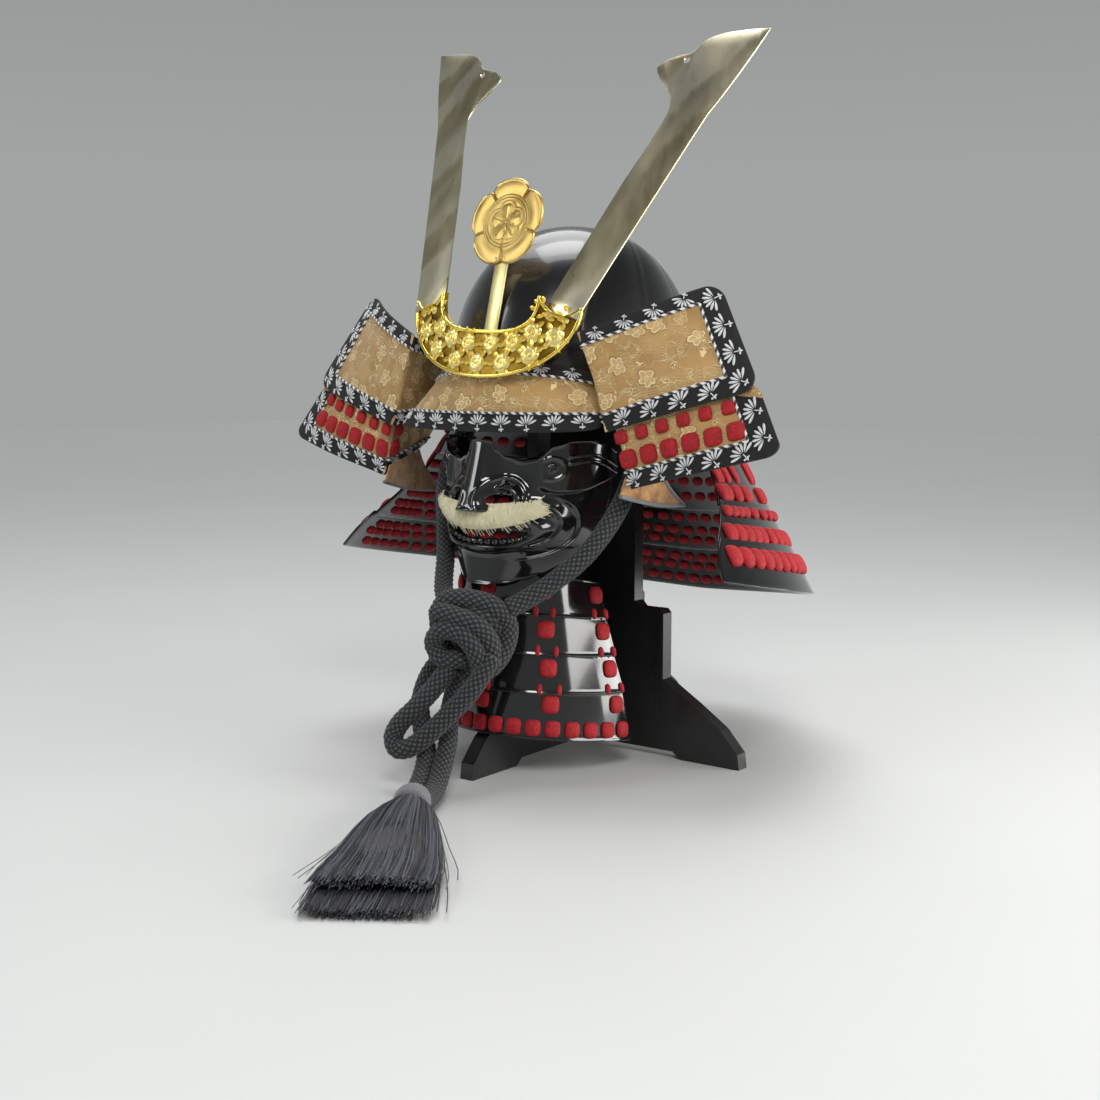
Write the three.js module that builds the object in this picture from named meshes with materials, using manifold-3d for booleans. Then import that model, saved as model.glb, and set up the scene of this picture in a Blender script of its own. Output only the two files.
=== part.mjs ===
// Kabuto: a lacquered samurai helmet with gilt horns and crest, turnbacks, laced neck guard,
// face mask, throat guard and tied chin cord, on its cross-board wooden stand.
// Millimetres, +Z up. The helmet faces -Y and the wearer's left is +X.
import * as THREE from 'three';
import { mergeVertices } from 'three/addons/utils/BufferGeometryUtils.js';
import Module from 'manifold-3d';

const wasm = await Module();
wasm.setup();

// ---------- driving dimensions ----------
const gap = 0.3;                        // clearance kept between touching pieces
const footprintShift = -21;               // moves the model so that its rigid pieces centre on Y = 0

const stand = {
  board: 15, footReach: 188, footInner: 121, archRise: 7, shoulderHalf: 101, shoulderTop: 147,
  postHalf: 67, postTop: 511.6, postDrop: 32, slotMiddle: 250,
};
const bowl = {
  halfWidth: 113, halfLength: 134, centreY: -16, rimZ: 350, springZ: 366, crownZ: 519,
  roundness: 2.2, wall: 2.5, plateBulge: 1.6, around: 48, upward: 5,
};
const plateEdges = [-45, 45, 75, 105, 135, 165, 195, 225, 255, 285, 315];   // degrees from the front
const crownRing = { hole: 8, collar: 13, flange: 23, height: 6, y: 46 };
const visor = {
  wall: 2.2, spread: 62, topZ: 379, topDip: 6, frontY: -168, frontZ: 324, cornerX: 117,
  cornerBack: 31, cornerRise: 7, bow: 3,
};
const crestRig = { pivotZ: 410, roll: 3.2 };                 // degrees, the wearer's right side up
const hornBase = {
  outerHalf: 97, outerTipZ: 441, bottomZ: 375, innerHalf: 56, innerTipZ: 450, innerBottomZ: 416,
  notchDrop: 12, thickness: 5, frontY: -158, lean: 0.18, bendRadius: 275, around: 13,
  knobRadius: 6, knobHeight: 3, holeRadius: 3.2,
};
const horn = {
  thickness: 1.6, plugDepth: 12, seat: [82, -140, 444],
  rise: [0.219, 0.442, 0.87], across: [0.972, -0.019, -0.235],
};
const crest = {
  radius: 42, lobeDepth: 3.4, thickness: 1.6, ringInner: 22.5, ringOuter: 25.5, relief: 1.4,
  stemWidth: 15, stemThickness: 2, stemBottomZ: 412, stemY: -151, flowerZ: 516, lean: 15,
};
const crestSocket = { halfWidth: 14, frontY: -157.5, backY: -138, bottomZ: 386, topZ: 411 };
const turnback = { wall: 2.5, cornerRadius: 16, bow: 7 };
const turnbackTiers = [
  // tier, corner: root (where the wall leaves the bowl), fold (front edge), tip (free edge)
  { name: 'upper', top: { root: [119, -42, 390], fold: [97, -147, 413], tip: [206, -86, 457] },
    bottom: { root: [122, -42, 334], fold: [127, -146, 326], tip: [262, -112, 366] } },
  { name: 'lower', top: { root: [144, -54, 332], fold: [131, -140, 336], tip: [254, -104, 372] },
    bottom: { root: [163, -58, 304], fold: [147, -137, 276], tip: [290, -122, 312] } },
];
// The neck guard hangs lower behind than at its two front ends.
const neckTop = { halfX: 119, halfY: 141, centreY: -16, frontZ: 364, backZ: 364 };
const neckBottom = { halfX: 218, halfY: 218, centreY: 4, frontZ: 198, backZ: 132 };
const neck = {
  lames: 5, wall: 2, step: 3, overlap: 0.16, around: 26, middle: 20, middleReach: 94, reachTop: 99,
  reachBottom: 117, flareFrom: 62, flare: 0.13, firstBand: 2, bandDepth: 3,
};
const mask = {
  wall: 2.5, halfAngle: 98, axisY: -80, noseHalf: 15, around: 18, upward: 12,
  mouthHalf: 45, mouthZ: 236, mouthHalfHeight: 11, nostrilX: 14, nostrilZ: 263,
};
const maskSections = [
  // z level, half-width, depth of the front ahead of the axis, squareness of the section
  { z: 184, half: 68, front: 95, square: 2.7 }, { z: 206, half: 76, front: 89, square: 2.4 },
  { z: 222, half: 79, front: 85, square: 2.2 }, { z: 246, half: 81, front: 86, square: 2.1 },
  { z: 275, half: 82, front: 83, square: 2.0 }, { z: 320, half: 83, front: 78, square: 2.0 },
];
const maskEdges = [
  // degrees from the front, top edge and bottom edge of the mask there
  { at: 0, top: 318, bottom: 184 }, { at: 6, top: 316, bottom: 184 }, { at: 13, top: 306, bottom: 184 },
  { at: 34, top: 302, bottom: 188 }, { at: 50, top: 312, bottom: 198 }, { at: 66, top: 318, bottom: 213 },
  { at: 82, top: 313, bottom: 240 }, { at: 98, top: 302, bottom: 268 },
];
const moustache = { half: 60, height: 22, thickness: 13, centreY: -179, endY: -155, z: 252, endRise: 9 };
const maskBracket = { barHalf: 84, barBackY: -98, barFrontY: -110, bottomZ: 283, topZ: 296, pegHalf: 7 };
const earFlap = {
  wall: 2, lowFront: [149, -133, 263], lowBack: [150, -44, 250],
  topFront: [150, -126, 277], topBack: [158, -68, 294],
};
const throat = { wall: 2, around: 14, halfAngle: 92, step: 2.4 };
const throatLames = [
  // half-width, front and centre of the plan curve, rear and front heights, at each lame's two edges
  { top: { half: 69, front: -150, centre: -76, rearZ: 180, frontZ: 196 },
    bottom: { half: 78, front: -158, centre: -73, rearZ: 146, frontZ: 156 } },
  { top: { half: 75, front: -154, centre: -72, rearZ: 147, frontZ: 158 },
    bottom: { half: 84, front: -162, centre: -68, rearZ: 109, frontZ: 120 } },
  { top: { half: 80.5, front: -158, centre: -67, rearZ: 110, frontZ: 122 },
    bottom: { half: 90, front: -166, centre: -63, rearZ: 74, frontZ: 84 } },
  { top: { half: 86.5, front: -162, centre: -62, rearZ: 75, frontZ: 86 },
    bottom: { half: 94, front: -168, centre: -56, rearZ: 26, frontZ: 42 } },
];
const throatRows = { sparse: 6, dense: 17, sparseHeight: 0.62, denseHeight: 0.22, lastSparseHeight: 0.72 };
const lace = { width: 15, height: 15, depth: 4, threadHeight: 3, threadBase: 1.9, threadDepth: 1 };

// ---------- chin cord: routes through the middle of the cord ----------
const cord = { radius: 9, sides: 8 };
const leftCord = [
  [100, -44, 343], [105, -58, 314], [108, -74, 284], [110, -90, 264], [106, -112, 237],
  [96, -134, 212], [78, -156, 190], [60, -175, 174], [50, -186, 167],
];
const rightCord = [
  [-98, -44, 343], [-104, -66, 314], [-106, -91, 284], [-98, -112, 256], [-82, -130, 226],
  [-71, -149, 200], [-54, -168, 182], [-36, -180, 171], [-10, -187, 168],
];
const loopCord = [
  [47, -206, 125], [34, -219, 96], [15, -232, 71], [-6, -246, 48], [-25, -254, 40],
  [-37, -254, 51], [-30, -248, 68], [-14, -238, 84], [-2, -226, 100], [3, -214, 121],
];
const tailCords = {
  right: [[-23, -192, 117], [-43, -197, 95], [-48, -204, 71], [-34, -217, 50], [-15, -233, 33],
    [0, -255, 18], [15, -280, 10], [31, -305, 12]],
  left: [[-4, -188, 112], [-12, -190, 84], [-10, -200, 62], [5, -217, 42], [18, -239, 25],
    [31, -263, 13], [44, -284, 10], [55, -307, 12]],
};
const knot = { centre: [18, -198, 146], core: [30, 23, 32] };
const knotWraps = [
  // ring radius, flattening and the turns of each wrap about X, Y and Z, degrees
  { ring: 28, squeeze: 0.85, x: 62, y: 24, z: 0, shift: [2, -2, 12] },
  { ring: 28, squeeze: 0.8, x: 70, y: -38, z: 12, shift: [2, -2, -4] },
  { ring: 20, squeeze: 0.9, x: 20, y: 52, z: 8, shift: [-14, -2, -16] },
];
const tassel = {
  head: [52, -322, 17], toward: [0.55, -0.835], length: 225, headRadius: 17, endHalf: 46, lockRadius: 9,
  lift: 0.4, layers: [{ locks: 5, height: 9, reach: 1 }, { locks: 4, height: 21, reach: 0.93 }],
};

// ---------- colours ----------
const finish = (colour, roughness, metalness) =>
  new THREE.MeshStandardMaterial({ color: colour, roughness, metalness });
const lacquer = () => finish(0x0b0b0d, 0.16, 0.0);
const gilt = () => finish(0xe3b93c, 0.24, 1.0);
const paleBrass = () => finish(0xb7aa84, 0.3, 1.0);
const brocade = () => finish(0xb58a45, 0.6, 0.1);
const redSilk = () => finish(0xd81f2e, 0.75, 0.0);
const blackWood = () => finish(0x100f11, 0.4, 0.0);
const cordFibre = () => finish(0x34363c, 0.85, 0.0);
const suede = () => finish(0xa06a2c, 0.9, 0.0);
const hair = () => finish(0xeee6c0, 0.85, 0.0);

// ---------- geometry helpers ----------
const radians = THREE.MathUtils.degToRad;
const mix = THREE.MathUtils.lerp;
const vector = (...xyz) => new THREE.Vector3(...xyz);

// Position-only geometry with shared vertices merged, facing out.
function sealed(geometry) {
  const bare = geometry.clone();
  bare.deleteAttribute('normal');
  bare.deleteAttribute('uv');
  const merged = mergeVertices(bare, 1e-4);
  const { position } = merged.attributes;
  const corners = merged.index.array;
  const kept = [];
  let volume = 0;
  for (let i = 0; i < corners.length; i += 3) {
    const [a, b, c] = [corners[i], corners[i + 1], corners[i + 2]];
    if (a === b || b === c || c === a) continue;
    kept.push(a, b, c);
    const [p, q, r] = [a, b, c].map((k) => vector().fromBufferAttribute(position, k));
    volume += p.dot(q.cross(r));
  }
  if (volume < 0) kept.reverse();
  merged.setIndex(kept);
  merged.computeVertexNormals();
  return merged;
}

function fromLists(points, faces) {
  const geometry = new THREE.BufferGeometry();
  geometry.setAttribute('position', new THREE.Float32BufferAttribute(points.flatMap((p) => p.toArray()), 3));
  geometry.setIndex(faces.flat());
  return geometry;
}

function solid(geometry) {
  const closed = sealed(geometry);
  return new wasm.Manifold(new wasm.Mesh({
    numProp: 3,
    vertProperties: new Float32Array(closed.attributes.position.array),
    triVerts: new Uint32Array(closed.index.array),
  }));
}

function fromSolid(body) {
  const { vertProperties, triVerts } = body.getMesh();
  const geometry = new THREE.BufferGeometry();
  geometry.setAttribute('position', new THREE.Float32BufferAttribute(vertProperties, 3));
  geometry.setIndex(Array.from(triVerts));
  return geometry;
}

const joined = (geometries) => fromSolid(geometries.map(solid).reduce((whole, piece) => whole.add(piece)));
const cutBy = (geometry, cutters) =>
  fromSolid(cutters.map(solid).reduce((whole, cutter) => whole.subtract(cutter), solid(geometry)));

// The largest body left of a geometry after the cutters are taken from it.
function trimmed(geometry, cutters) {
  const whole = cutters.map(solid).reduce((rest, cutter) => rest.subtract(cutter), solid(geometry));
  return fromSolid(whole.decompose().reduce((best, body) => (body.volume() > best.volume() ? body : best)));
}

const moved = (geometry, [x, y, z]) => geometry.translate(x, y, z);

const piece = (name, geometry, material) => {
  const mesh = new THREE.Mesh(sealed(geometry), material);
  mesh.name = name;
  return mesh;
};

const mirrored = (geometry) => {
  const twin = sealed(geometry);
  twin.scale(-1, 1, 1);
  return sealed(twin);
};

// The outward normal of surface(u, v), where u runs counterclockwise seen from above and v upwards.
function normalOf(surface, u, v) {
  const step = 1e-3;
  const along = surface(Math.min(u + step, 1), v).sub(surface(Math.max(u - step, 0), v));
  const up = surface(u, Math.min(v + step, 1)).sub(surface(u, Math.max(v - step, 0)));
  return along.cross(up).normalize();
}

// A wall of even thickness behind surface(u, v). inward(point, normal) may bend the way to its back.
function wall(surface, uSteps, vSteps, thickness, inward = (point, normal) => normal.negate()) {
  const points = [];
  const columns = uSteps + 1;
  const rows = vSteps + 1;
  for (const depth of [0, thickness]) {
    for (let i = 0; i < columns; i += 1) {
      for (let j = 0; j < rows; j += 1) {
        const [u, v] = [i / uSteps, j / vSteps];
        const point = surface(u, v);
        const back = depth && inward(point, normalOf(surface, u, v));
        points.push(depth ? point.clone().addScaledVector(back, depth) : point);
      }
    }
  }
  const at = (back, i, j) => back * columns * rows + i * rows + j;
  const faces = [];
  const quad = (a, b, c, d) => faces.push([a, b, c], [a, c, d]);
  for (let i = 0; i < uSteps; i += 1) {
    for (let j = 0; j < vSteps; j += 1) {
      quad(at(0, i, j), at(0, i + 1, j), at(0, i + 1, j + 1), at(0, i, j + 1));
      quad(at(1, i, j), at(1, i, j + 1), at(1, i + 1, j + 1), at(1, i + 1, j));
    }
    quad(at(0, i, 0), at(1, i, 0), at(1, i + 1, 0), at(0, i + 1, 0));
    quad(at(0, i, vSteps), at(0, i + 1, vSteps), at(1, i + 1, vSteps), at(1, i, vSteps));
  }
  for (let j = 0; j < vSteps; j += 1) {
    quad(at(0, 0, j), at(0, 0, j + 1), at(1, 0, j + 1), at(1, 0, j));
    quad(at(0, uSteps, j), at(1, uSteps, j), at(1, uSteps, j + 1), at(0, uSteps, j + 1));
  }
  return fromLists(points, faces);
}

// A closed body lofted through rings of points, all with the same count.
function loft(rings) {
  const size = rings[0].length;
  const faces = [];
  for (let r = 0; r + 1 < rings.length; r += 1) {
    for (let k = 0; k < size; k += 1) {
      const [a, b] = [r * size + k, r * size + ((k + 1) % size)];
      faces.push([a, b, b + size], [a, b + size, a + size]);
    }
  }
  const last = (rings.length - 1) * size;
  for (let k = 1; k + 1 < size; k += 1) {
    faces.push([0, k + 1, k], [last, last + k, last + k + 1]);
  }
  return fromLists(rings.flat(), faces);
}

// A round tube through points.
function tube(points, radius, steps, sides = cord.sides) {
  const section = new THREE.Shape();
  for (let k = 0; k < sides; k += 1) {
    const turn = (2 * Math.PI * k) / sides;
    section[k ? 'lineTo' : 'moveTo'](radius * Math.cos(turn), radius * Math.sin(turn));
  }
  section.closePath();
  const extrudePath = new THREE.CatmullRomCurve3(points.map((p) => vector(...p)), false, 'centripetal');
  return new THREE.ExtrudeGeometry(section, { extrudePath, steps, bevelEnabled: false, curveSegments: 1 });
}

function superellipse(halfX, halfZ, power, turn) {
  const [c, s] = [Math.cos(turn), Math.sin(turn)];
  return [[halfX, c], [halfZ, s]].map(([half, k]) => half * Math.sign(k) * Math.abs(k) ** (2 / power));
}

// Straight interpolation in a table whose rows are sorted by the named key.
function fromTable(rows, key, value, names) {
  const last = rows.length - 1;
  let i = 0;
  while (i < last - 1 && value > rows[i + 1][key]) i += 1;
  const part = THREE.MathUtils.clamp((value - rows[i][key]) / (rows[i + 1][key] - rows[i][key]), 0, 1);
  const eased = part * part * (3 - 2 * part);
  return names.map((name) => mix(rows[i][name], rows[i + 1][name], key === 'at' ? eased : part));
}

// ---------- stand: two boards of one outline, halved together ----------
function standBoard(slotFromTop) {
  const { footReach, footInner, archRise, shoulderHalf, shoulderTop, postHalf, postTop, postDrop } = stand;
  const slotHalf = stand.board / 2 + gap;
  const half = (side) => [
    [footInner - 8, archRise], [footInner, 0], [footReach, 0], [footReach - 2, 15], [167, 36], [137, 56],
    [shoulderHalf, 78], [shoulderHalf, shoulderTop - 4], [shoulderHalf - 4, shoulderTop],
    [postHalf + 6, shoulderTop], [postHalf, shoulderTop + 6],
    ...[1, 0.8, 0.6, 0.4, 0.2].map((k) => [postHalf * k, postTop - postDrop * k * k]),
  ].map(([x, z]) => [side * x, z]);
  const right = half(1);
  const left = half(-1).reverse();
  const topSlot = [[slotHalf, postTop], [slotHalf, stand.slotMiddle - gap / 2],
    [-slotHalf, stand.slotMiddle - gap / 2], [-slotHalf, postTop]];
  const footSlot = [[-slotHalf, archRise], [-slotHalf, stand.slotMiddle + gap / 2],
    [slotHalf, stand.slotMiddle + gap / 2], [slotHalf, archRise]];
  const crest = slotFromTop ? topSlot : [[0, postTop]];
  const outline = [...right, ...crest, ...left, ...(slotFromTop ? [] : footSlot)];
  const shape = new THREE.Shape(outline.map(([x, z]) => new THREE.Vector2(x, z)));
  const board = new THREE.ExtrudeGeometry(shape, { depth: stand.board, bevelEnabled: false });
  board.translate(0, 0, -stand.board / 2);
  board.rotateX(Math.PI / 2);
  return board;
}

// ---------- bowl ----------
// Height of the bowl's outside over a point whose distance from the axis is part of the rim's, 0 to 1.
const domeHeight = (part) =>
  bowl.springZ + (bowl.crownZ - bowl.springZ) * (1 - part ** bowl.roundness) ** (1 / bowl.roundness);

function bowlGeometry(grow = 0) {
  const profile = [];
  const arc = (inset, k) => {
    const [r, z] = superellipse(bowl.halfWidth + grow - inset, bowl.crownZ + grow - bowl.springZ - inset,
      bowl.roundness, (Math.PI / 2) * k);
    profile.push(new THREE.Vector2(r, bowl.springZ + z));
  };
  const rows = Array.from({ length: bowl.upward + 1 }, (_, k) => k / bowl.upward);
  rows.forEach((k) => arc(0, 1 - k));
  profile.push(new THREE.Vector2(bowl.halfWidth + grow, bowl.rimZ - grow));
  profile.push(new THREE.Vector2(bowl.halfWidth + grow - bowl.wall, bowl.rimZ - grow));
  if (grow) {
    profile.push(new THREE.Vector2(0, bowl.rimZ - grow));
  } else {
    rows.forEach((k) => arc(bowl.wall, k));
  }
  profile[0].x = 0;
  profile[profile.length - 1].x = 0;
  const dome = new THREE.LatheGeometry(profile, bowl.around);
  dome.rotateX(Math.PI / 2);
  dome.rotateZ(-Math.PI / 2);
  const { position } = dome.attributes;
  for (let i = 0; i < position.count; i += 1) {
    const [x, y] = [position.getX(i), position.getY(i)];
    const reach = Math.hypot(x, y);
    if (reach < 1) continue;
    const turn = ((THREE.MathUtils.radToDeg(Math.atan2(x, -y)) + 45 + 360.001) % 360) - 45;
    const edge = plateEdges.findLastIndex((angle) => angle <= turn + 0.01);
    const start = plateEdges[edge];
    const end = edge + 1 < plateEdges.length ? plateEdges[edge + 1] : 315;
    const across = end > start ? (turn - start) / (end - start) : 0;
    const swell = 1 + (bowl.plateBulge * 4 * across * (1 - across) * (reach / bowl.halfWidth)) / reach;
    position.setXY(i, x * swell, y * swell);
  }
  dome.scale(1, bowl.halfLength / bowl.halfWidth, 1);
  dome.translate(0, bowl.centreY, 0);
  return dome;
}

function crownRingGeometry() {
  const { hole, collar, flange, height } = crownRing;
  const section = [[hole, -0.3], [flange, -2.3], [flange, 0.2], [collar + 1, 2.5],
    [collar, height], [hole, height]];
  const ring = new THREE.LatheGeometry([...section, section[0]].map(([r, z]) => new THREE.Vector2(r, z)), 16);
  ring.rotateX(Math.PI / 2);
  return ring;
}

// ---------- visor ----------
function visorSurface(u, v) {
  const t = 2 * u - 1;
  const turn = radians(visor.spread) * t;
  const top = vector((bowl.halfWidth + 5) * Math.sin(turn),
    bowl.centreY - (bowl.halfLength + 5) * Math.cos(turn), visor.topZ - visor.topDip * t * t);
  const low = vector(visor.cornerX * Math.sin((t * Math.PI) / 2), visor.frontY + visor.cornerBack * t * t,
    visor.frontZ + visor.cornerRise * t * t);
  const point = low.lerp(top, v);
  point.y -= visor.bow * 4 * v * (1 - v);
  return point;
}

// ---------- crest rig: base, horns, flower ----------
const rigZ = (z) => z - crestRig.pivotZ;

// A point of the crescent: turn runs from its left tip at 180 degrees through the bottom at 270
// to the right tip at 360, part from its outer edge, 0, to its inner edge, 1.
function basePoint(turn, part) {
  const b = hornBase;
  const far = superellipse(b.outerHalf, b.outerTipZ - b.bottomZ, 2.2, radians(turn));
  const near = superellipse(b.innerHalf, b.innerTipZ - b.innerBottomZ, 3, radians(turn));
  const tip = THREE.MathUtils.smoothstep(Math.abs(turn - 270), 80, 90);
  const x = mix(far[0], near[0], part);
  const edge = mix(rigZ(b.outerTipZ) + far[1], rigZ(b.innerTipZ) + near[1], part);
  const z = edge - b.notchDrop * tip * 4 * part * (1 - part);
  const bend = b.bendRadius - Math.sqrt(b.bendRadius ** 2 - x * x);
  return vector(x, b.frontY + bend - b.lean * (rigZ(b.outerTipZ) - z), z);
}

function hornBaseGeometry() {
  const b = hornBase;
  const crescent = (u, v) => basePoint(mix(180, 360, u), v);
  const plate = wall(crescent, b.around, 2, b.thickness, () => vector(0, 1, 0));
  // two rows of flower knobs follow the crescent, with pierced gaps between them
  const row = (count, spread, part) =>
    Array.from({ length: count }, (_, k) => basePoint(270 + mix(-spread, spread, k / (count - 1)), part));
  const [lower, upper] = [row(8, 74, 0.26), row(7, 60, 0.7)];
  const rod = (point, small, large, depth, sides) =>
    moved(new THREE.CylinderGeometry(small, large, depth, sides).rotateX(Math.PI / 2), point.toArray());
  const studs = [...lower, ...upper].map((point) => {
    const middle = point.clone().setY(point.y + 1.5 - b.knobHeight);
    return rod(middle, b.knobRadius * 0.45, b.knobRadius, b.knobHeight + 3, 5);
  });
  const holes = upper.map((point, k) =>
    rod(point.clone().add(lower[k]).add(lower[k + 1]).divideScalar(3), b.holeRadius, b.holeRadius, 24, 4));
  const whole = cutBy(joined([plate, ...studs]), [...holes, hornGeometry(gap), mirrored(hornGeometry(gap))]);
  return fromSolid(solid(whole).simplify(0.12));
}

// One horn in its own plane: x across the blade, y along it, then leaned back and splayed.
// With a clearance it is the slot that the horn plugs into.
function hornGeometry(clearance = 0) {
  const outline = new THREE.Shape();
  outline.moveTo(-20, -horn.plugDepth - clearance);
  outline.lineTo(-20, 0);
  outline.lineTo(-13, 124);
  outline.quadraticCurveTo(-7, 175, -7, 196);
  outline.bezierCurveTo(-8, 220, -34, 222, -43, 238);
  outline.quadraticCurveTo(-40, 250, -18, 259);
  outline.lineTo(-15, 254);
  outline.lineTo(-11, 262);
  outline.bezierCurveTo(-14, 276, 0, 288, 48, 300);
  outline.quadraticCurveTo(43, 250, 33, 206);
  outline.quadraticCurveTo(27, 140, 17, 0);
  outline.lineTo(17, -horn.plugDepth - clearance);
  outline.closePath();
  const depth = horn.thickness + 2 * clearance;
  const blade = new THREE.ExtrudeGeometry(outline, { depth, bevelEnabled: false, curveSegments: 4 });
  blade.translate(0, 0, -clearance);
  blade.scale(1 + clearance / 15, 1, 1);
  const length = vector(...horn.rise).normalize();
  const across = vector(...horn.across);
  across.addScaledVector(length, -across.dot(length)).normalize();
  const frame = new THREE.Matrix4().makeBasis(across, length, across.clone().cross(length));
  blade.applyMatrix4(frame);
  blade.translate(horn.seat[0], horn.seat[1], rigZ(horn.seat[2]));
  return blade;
}

function crestFlower() {
  const lobes = new THREE.Shape();
  const count = 25;
  for (let k = 0; k < count; k += 1) {
    const turn = (2 * Math.PI * k) / count;
    const petal = Math.abs(Math.cos(2.5 * (turn - Math.PI / 2)));
    const reach = crest.radius - crest.lobeDepth * (1 - petal) ** 1.5 * 1.6;
    lobes[k ? 'lineTo' : 'moveTo'](reach * Math.cos(turn), reach * Math.sin(turn));
  }
  lobes.closePath();
  const plate = new THREE.ExtrudeGeometry(lobes, { depth: crest.thickness, bevelEnabled: false });
  const band = new THREE.Shape().absarc(0, 0, crest.ringOuter, 0, 2 * Math.PI);
  band.holes.push(new THREE.Path().absarc(0, 0, crest.ringInner, 0, 2 * Math.PI, true));
  const raised = { depth: crest.relief + 0.5, bevelEnabled: false, curveSegments: 5 };
  const ring = new THREE.ExtrudeGeometry(band, raised);
  ring.translate(0, 0, crest.thickness - 0.5);
  const button = new THREE.CylinderGeometry(3.5, 4.5, crest.relief + 0.8, 8);
  button.rotateX(Math.PI / 2);
  button.translate(0, 0, crest.thickness + 0.3);
  const spokes = Array.from({ length: 5 }, (_, k) => {
    const spoke = new THREE.BoxGeometry(8, 17, crest.relief + 0.4);
    spoke.translate(0, 13, crest.thickness + 0.2);
    spoke.rotateZ((2 * Math.PI * (k + 0.5)) / 5);
    return spoke;
  });
  const flower = joined([plate, ring, button, ...spokes]);
  flower.rotateX(Math.PI / 2);
  return flower;
}

// ---------- turnbacks ----------
function turnbackSurface(tier) {
  const route = ({ root, fold, tip }) => {
    const [r, f, t] = [root, fold, tip].map((p) => vector(...p));
    const bowed = f.clone().lerp(t, 0.55).add(vector(0, -turnback.bow, 0));
    return new THREE.CatmullRomCurve3(
      [r, r.clone().lerp(f, 0.5), r.clone().lerp(f, 0.9).add(vector(2, 0, 0)), f,
        f.clone().lerp(t, 0.1).add(vector(0, -2, 0)), bowed, t], false, 'centripetal');
  };
  const [low, high] = [route(tier.bottom), route(tier.top)];
  const span = high.getLength();
  return (u, v) => {
    // the free corners are rounded by drawing the edges in over the last stretch
    const left = (1 - u) * span;
    const r = turnback.cornerRadius;
    const inset = left < r ? (r - Math.sqrt(Math.max(r * r - (r - left) ** 2, 0))) / 100 : 0;
    const bounded = mix(inset, 1 - inset, v);
    return low.getPointAt(u).lerp(high.getPointAt(u), bounded);
  };
}

// Columns crowd towards the rounded free corners and the fold.
const crowded = (surface) => (u, v) => surface(u < 0.8 ? u * 1.125 : 1 - 0.1 * ((1 - u) / 0.2) ** 1.6, v);

// ---------- neck guard ----------
// A point of the guard at an angle from the back, in degrees, and a level from 0, top, to 1, bottom.
function neckPoint(angle, level, outset) {
  const turn = radians(angle);
  const flared = THREE.MathUtils.smoothstep(Math.abs(angle), neck.flareFrom, neck.reachBottom);
  const scale = 1 + neck.flare * flared * level;
  const halfX = mix(neckTop.halfX, neckBottom.halfX, level) * scale + outset;
  const halfY = mix(neckTop.halfY, neckBottom.halfY, level) * scale + outset;
  const ahead = (Math.abs(angle) / neck.reachBottom) ** 1.5;
  const bottomZ = mix(neckBottom.backZ, neckBottom.frontZ, ahead);
  const centreY = mix(neckTop.centreY, neckBottom.centreY, level);
  const z = mix(neckTop.frontZ, bottomZ, level);
  return vector(halfX * Math.sin(turn), centreY + halfY * Math.cos(turn), z);
}

// One lame; raised is how far the surface stands off the lame's own. Its middle columns keep the
// same angles at every level and only the end ones follow the slanted front edge.
function neckSurface(index, raised = 0) {
  const high = Math.max((index - neck.overlap) / neck.lames, 0);
  const low = (index + 1) / neck.lames;
  const knee = neck.middle / neck.around;
  return (u, v) => {
    const level = mix(low, high, v);
    const reach = mix(neck.reachTop, neck.reachBottom, THREE.MathUtils.smoothstep(level, 0.36, 1));
    const t = 1 - 2 * u;
    const beyond = Math.max((Math.abs(t) - knee) / (1 - knee), 0);
    const angle = Math.min(Math.abs(t) / knee, 1) * neck.middleReach + beyond * (reach - neck.middleReach);
    return neckPoint(Math.sign(t) * angle, level, index * neck.step + raised);
  };
}

// A dense row of lacing across a lame, as one plain raised band.
function neckBand(index) {
  const surface = neckSurface(index, neck.bandDepth + 5 * gap);
  const [start, half] = [(1 - neck.middle / neck.around) / 2, 0.17];
  const band = (u, v) => surface(mix(start, 1 - start, u), mix(0.36 - half, 0.36 + half, v));
  return wall(band, neck.middle, 1, neck.bandDepth);
}

// ---------- face mask ----------
const towardsMaskAxis = (point) => vector(-point.x, mask.axisY - point.y, 0).normalize();

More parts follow.
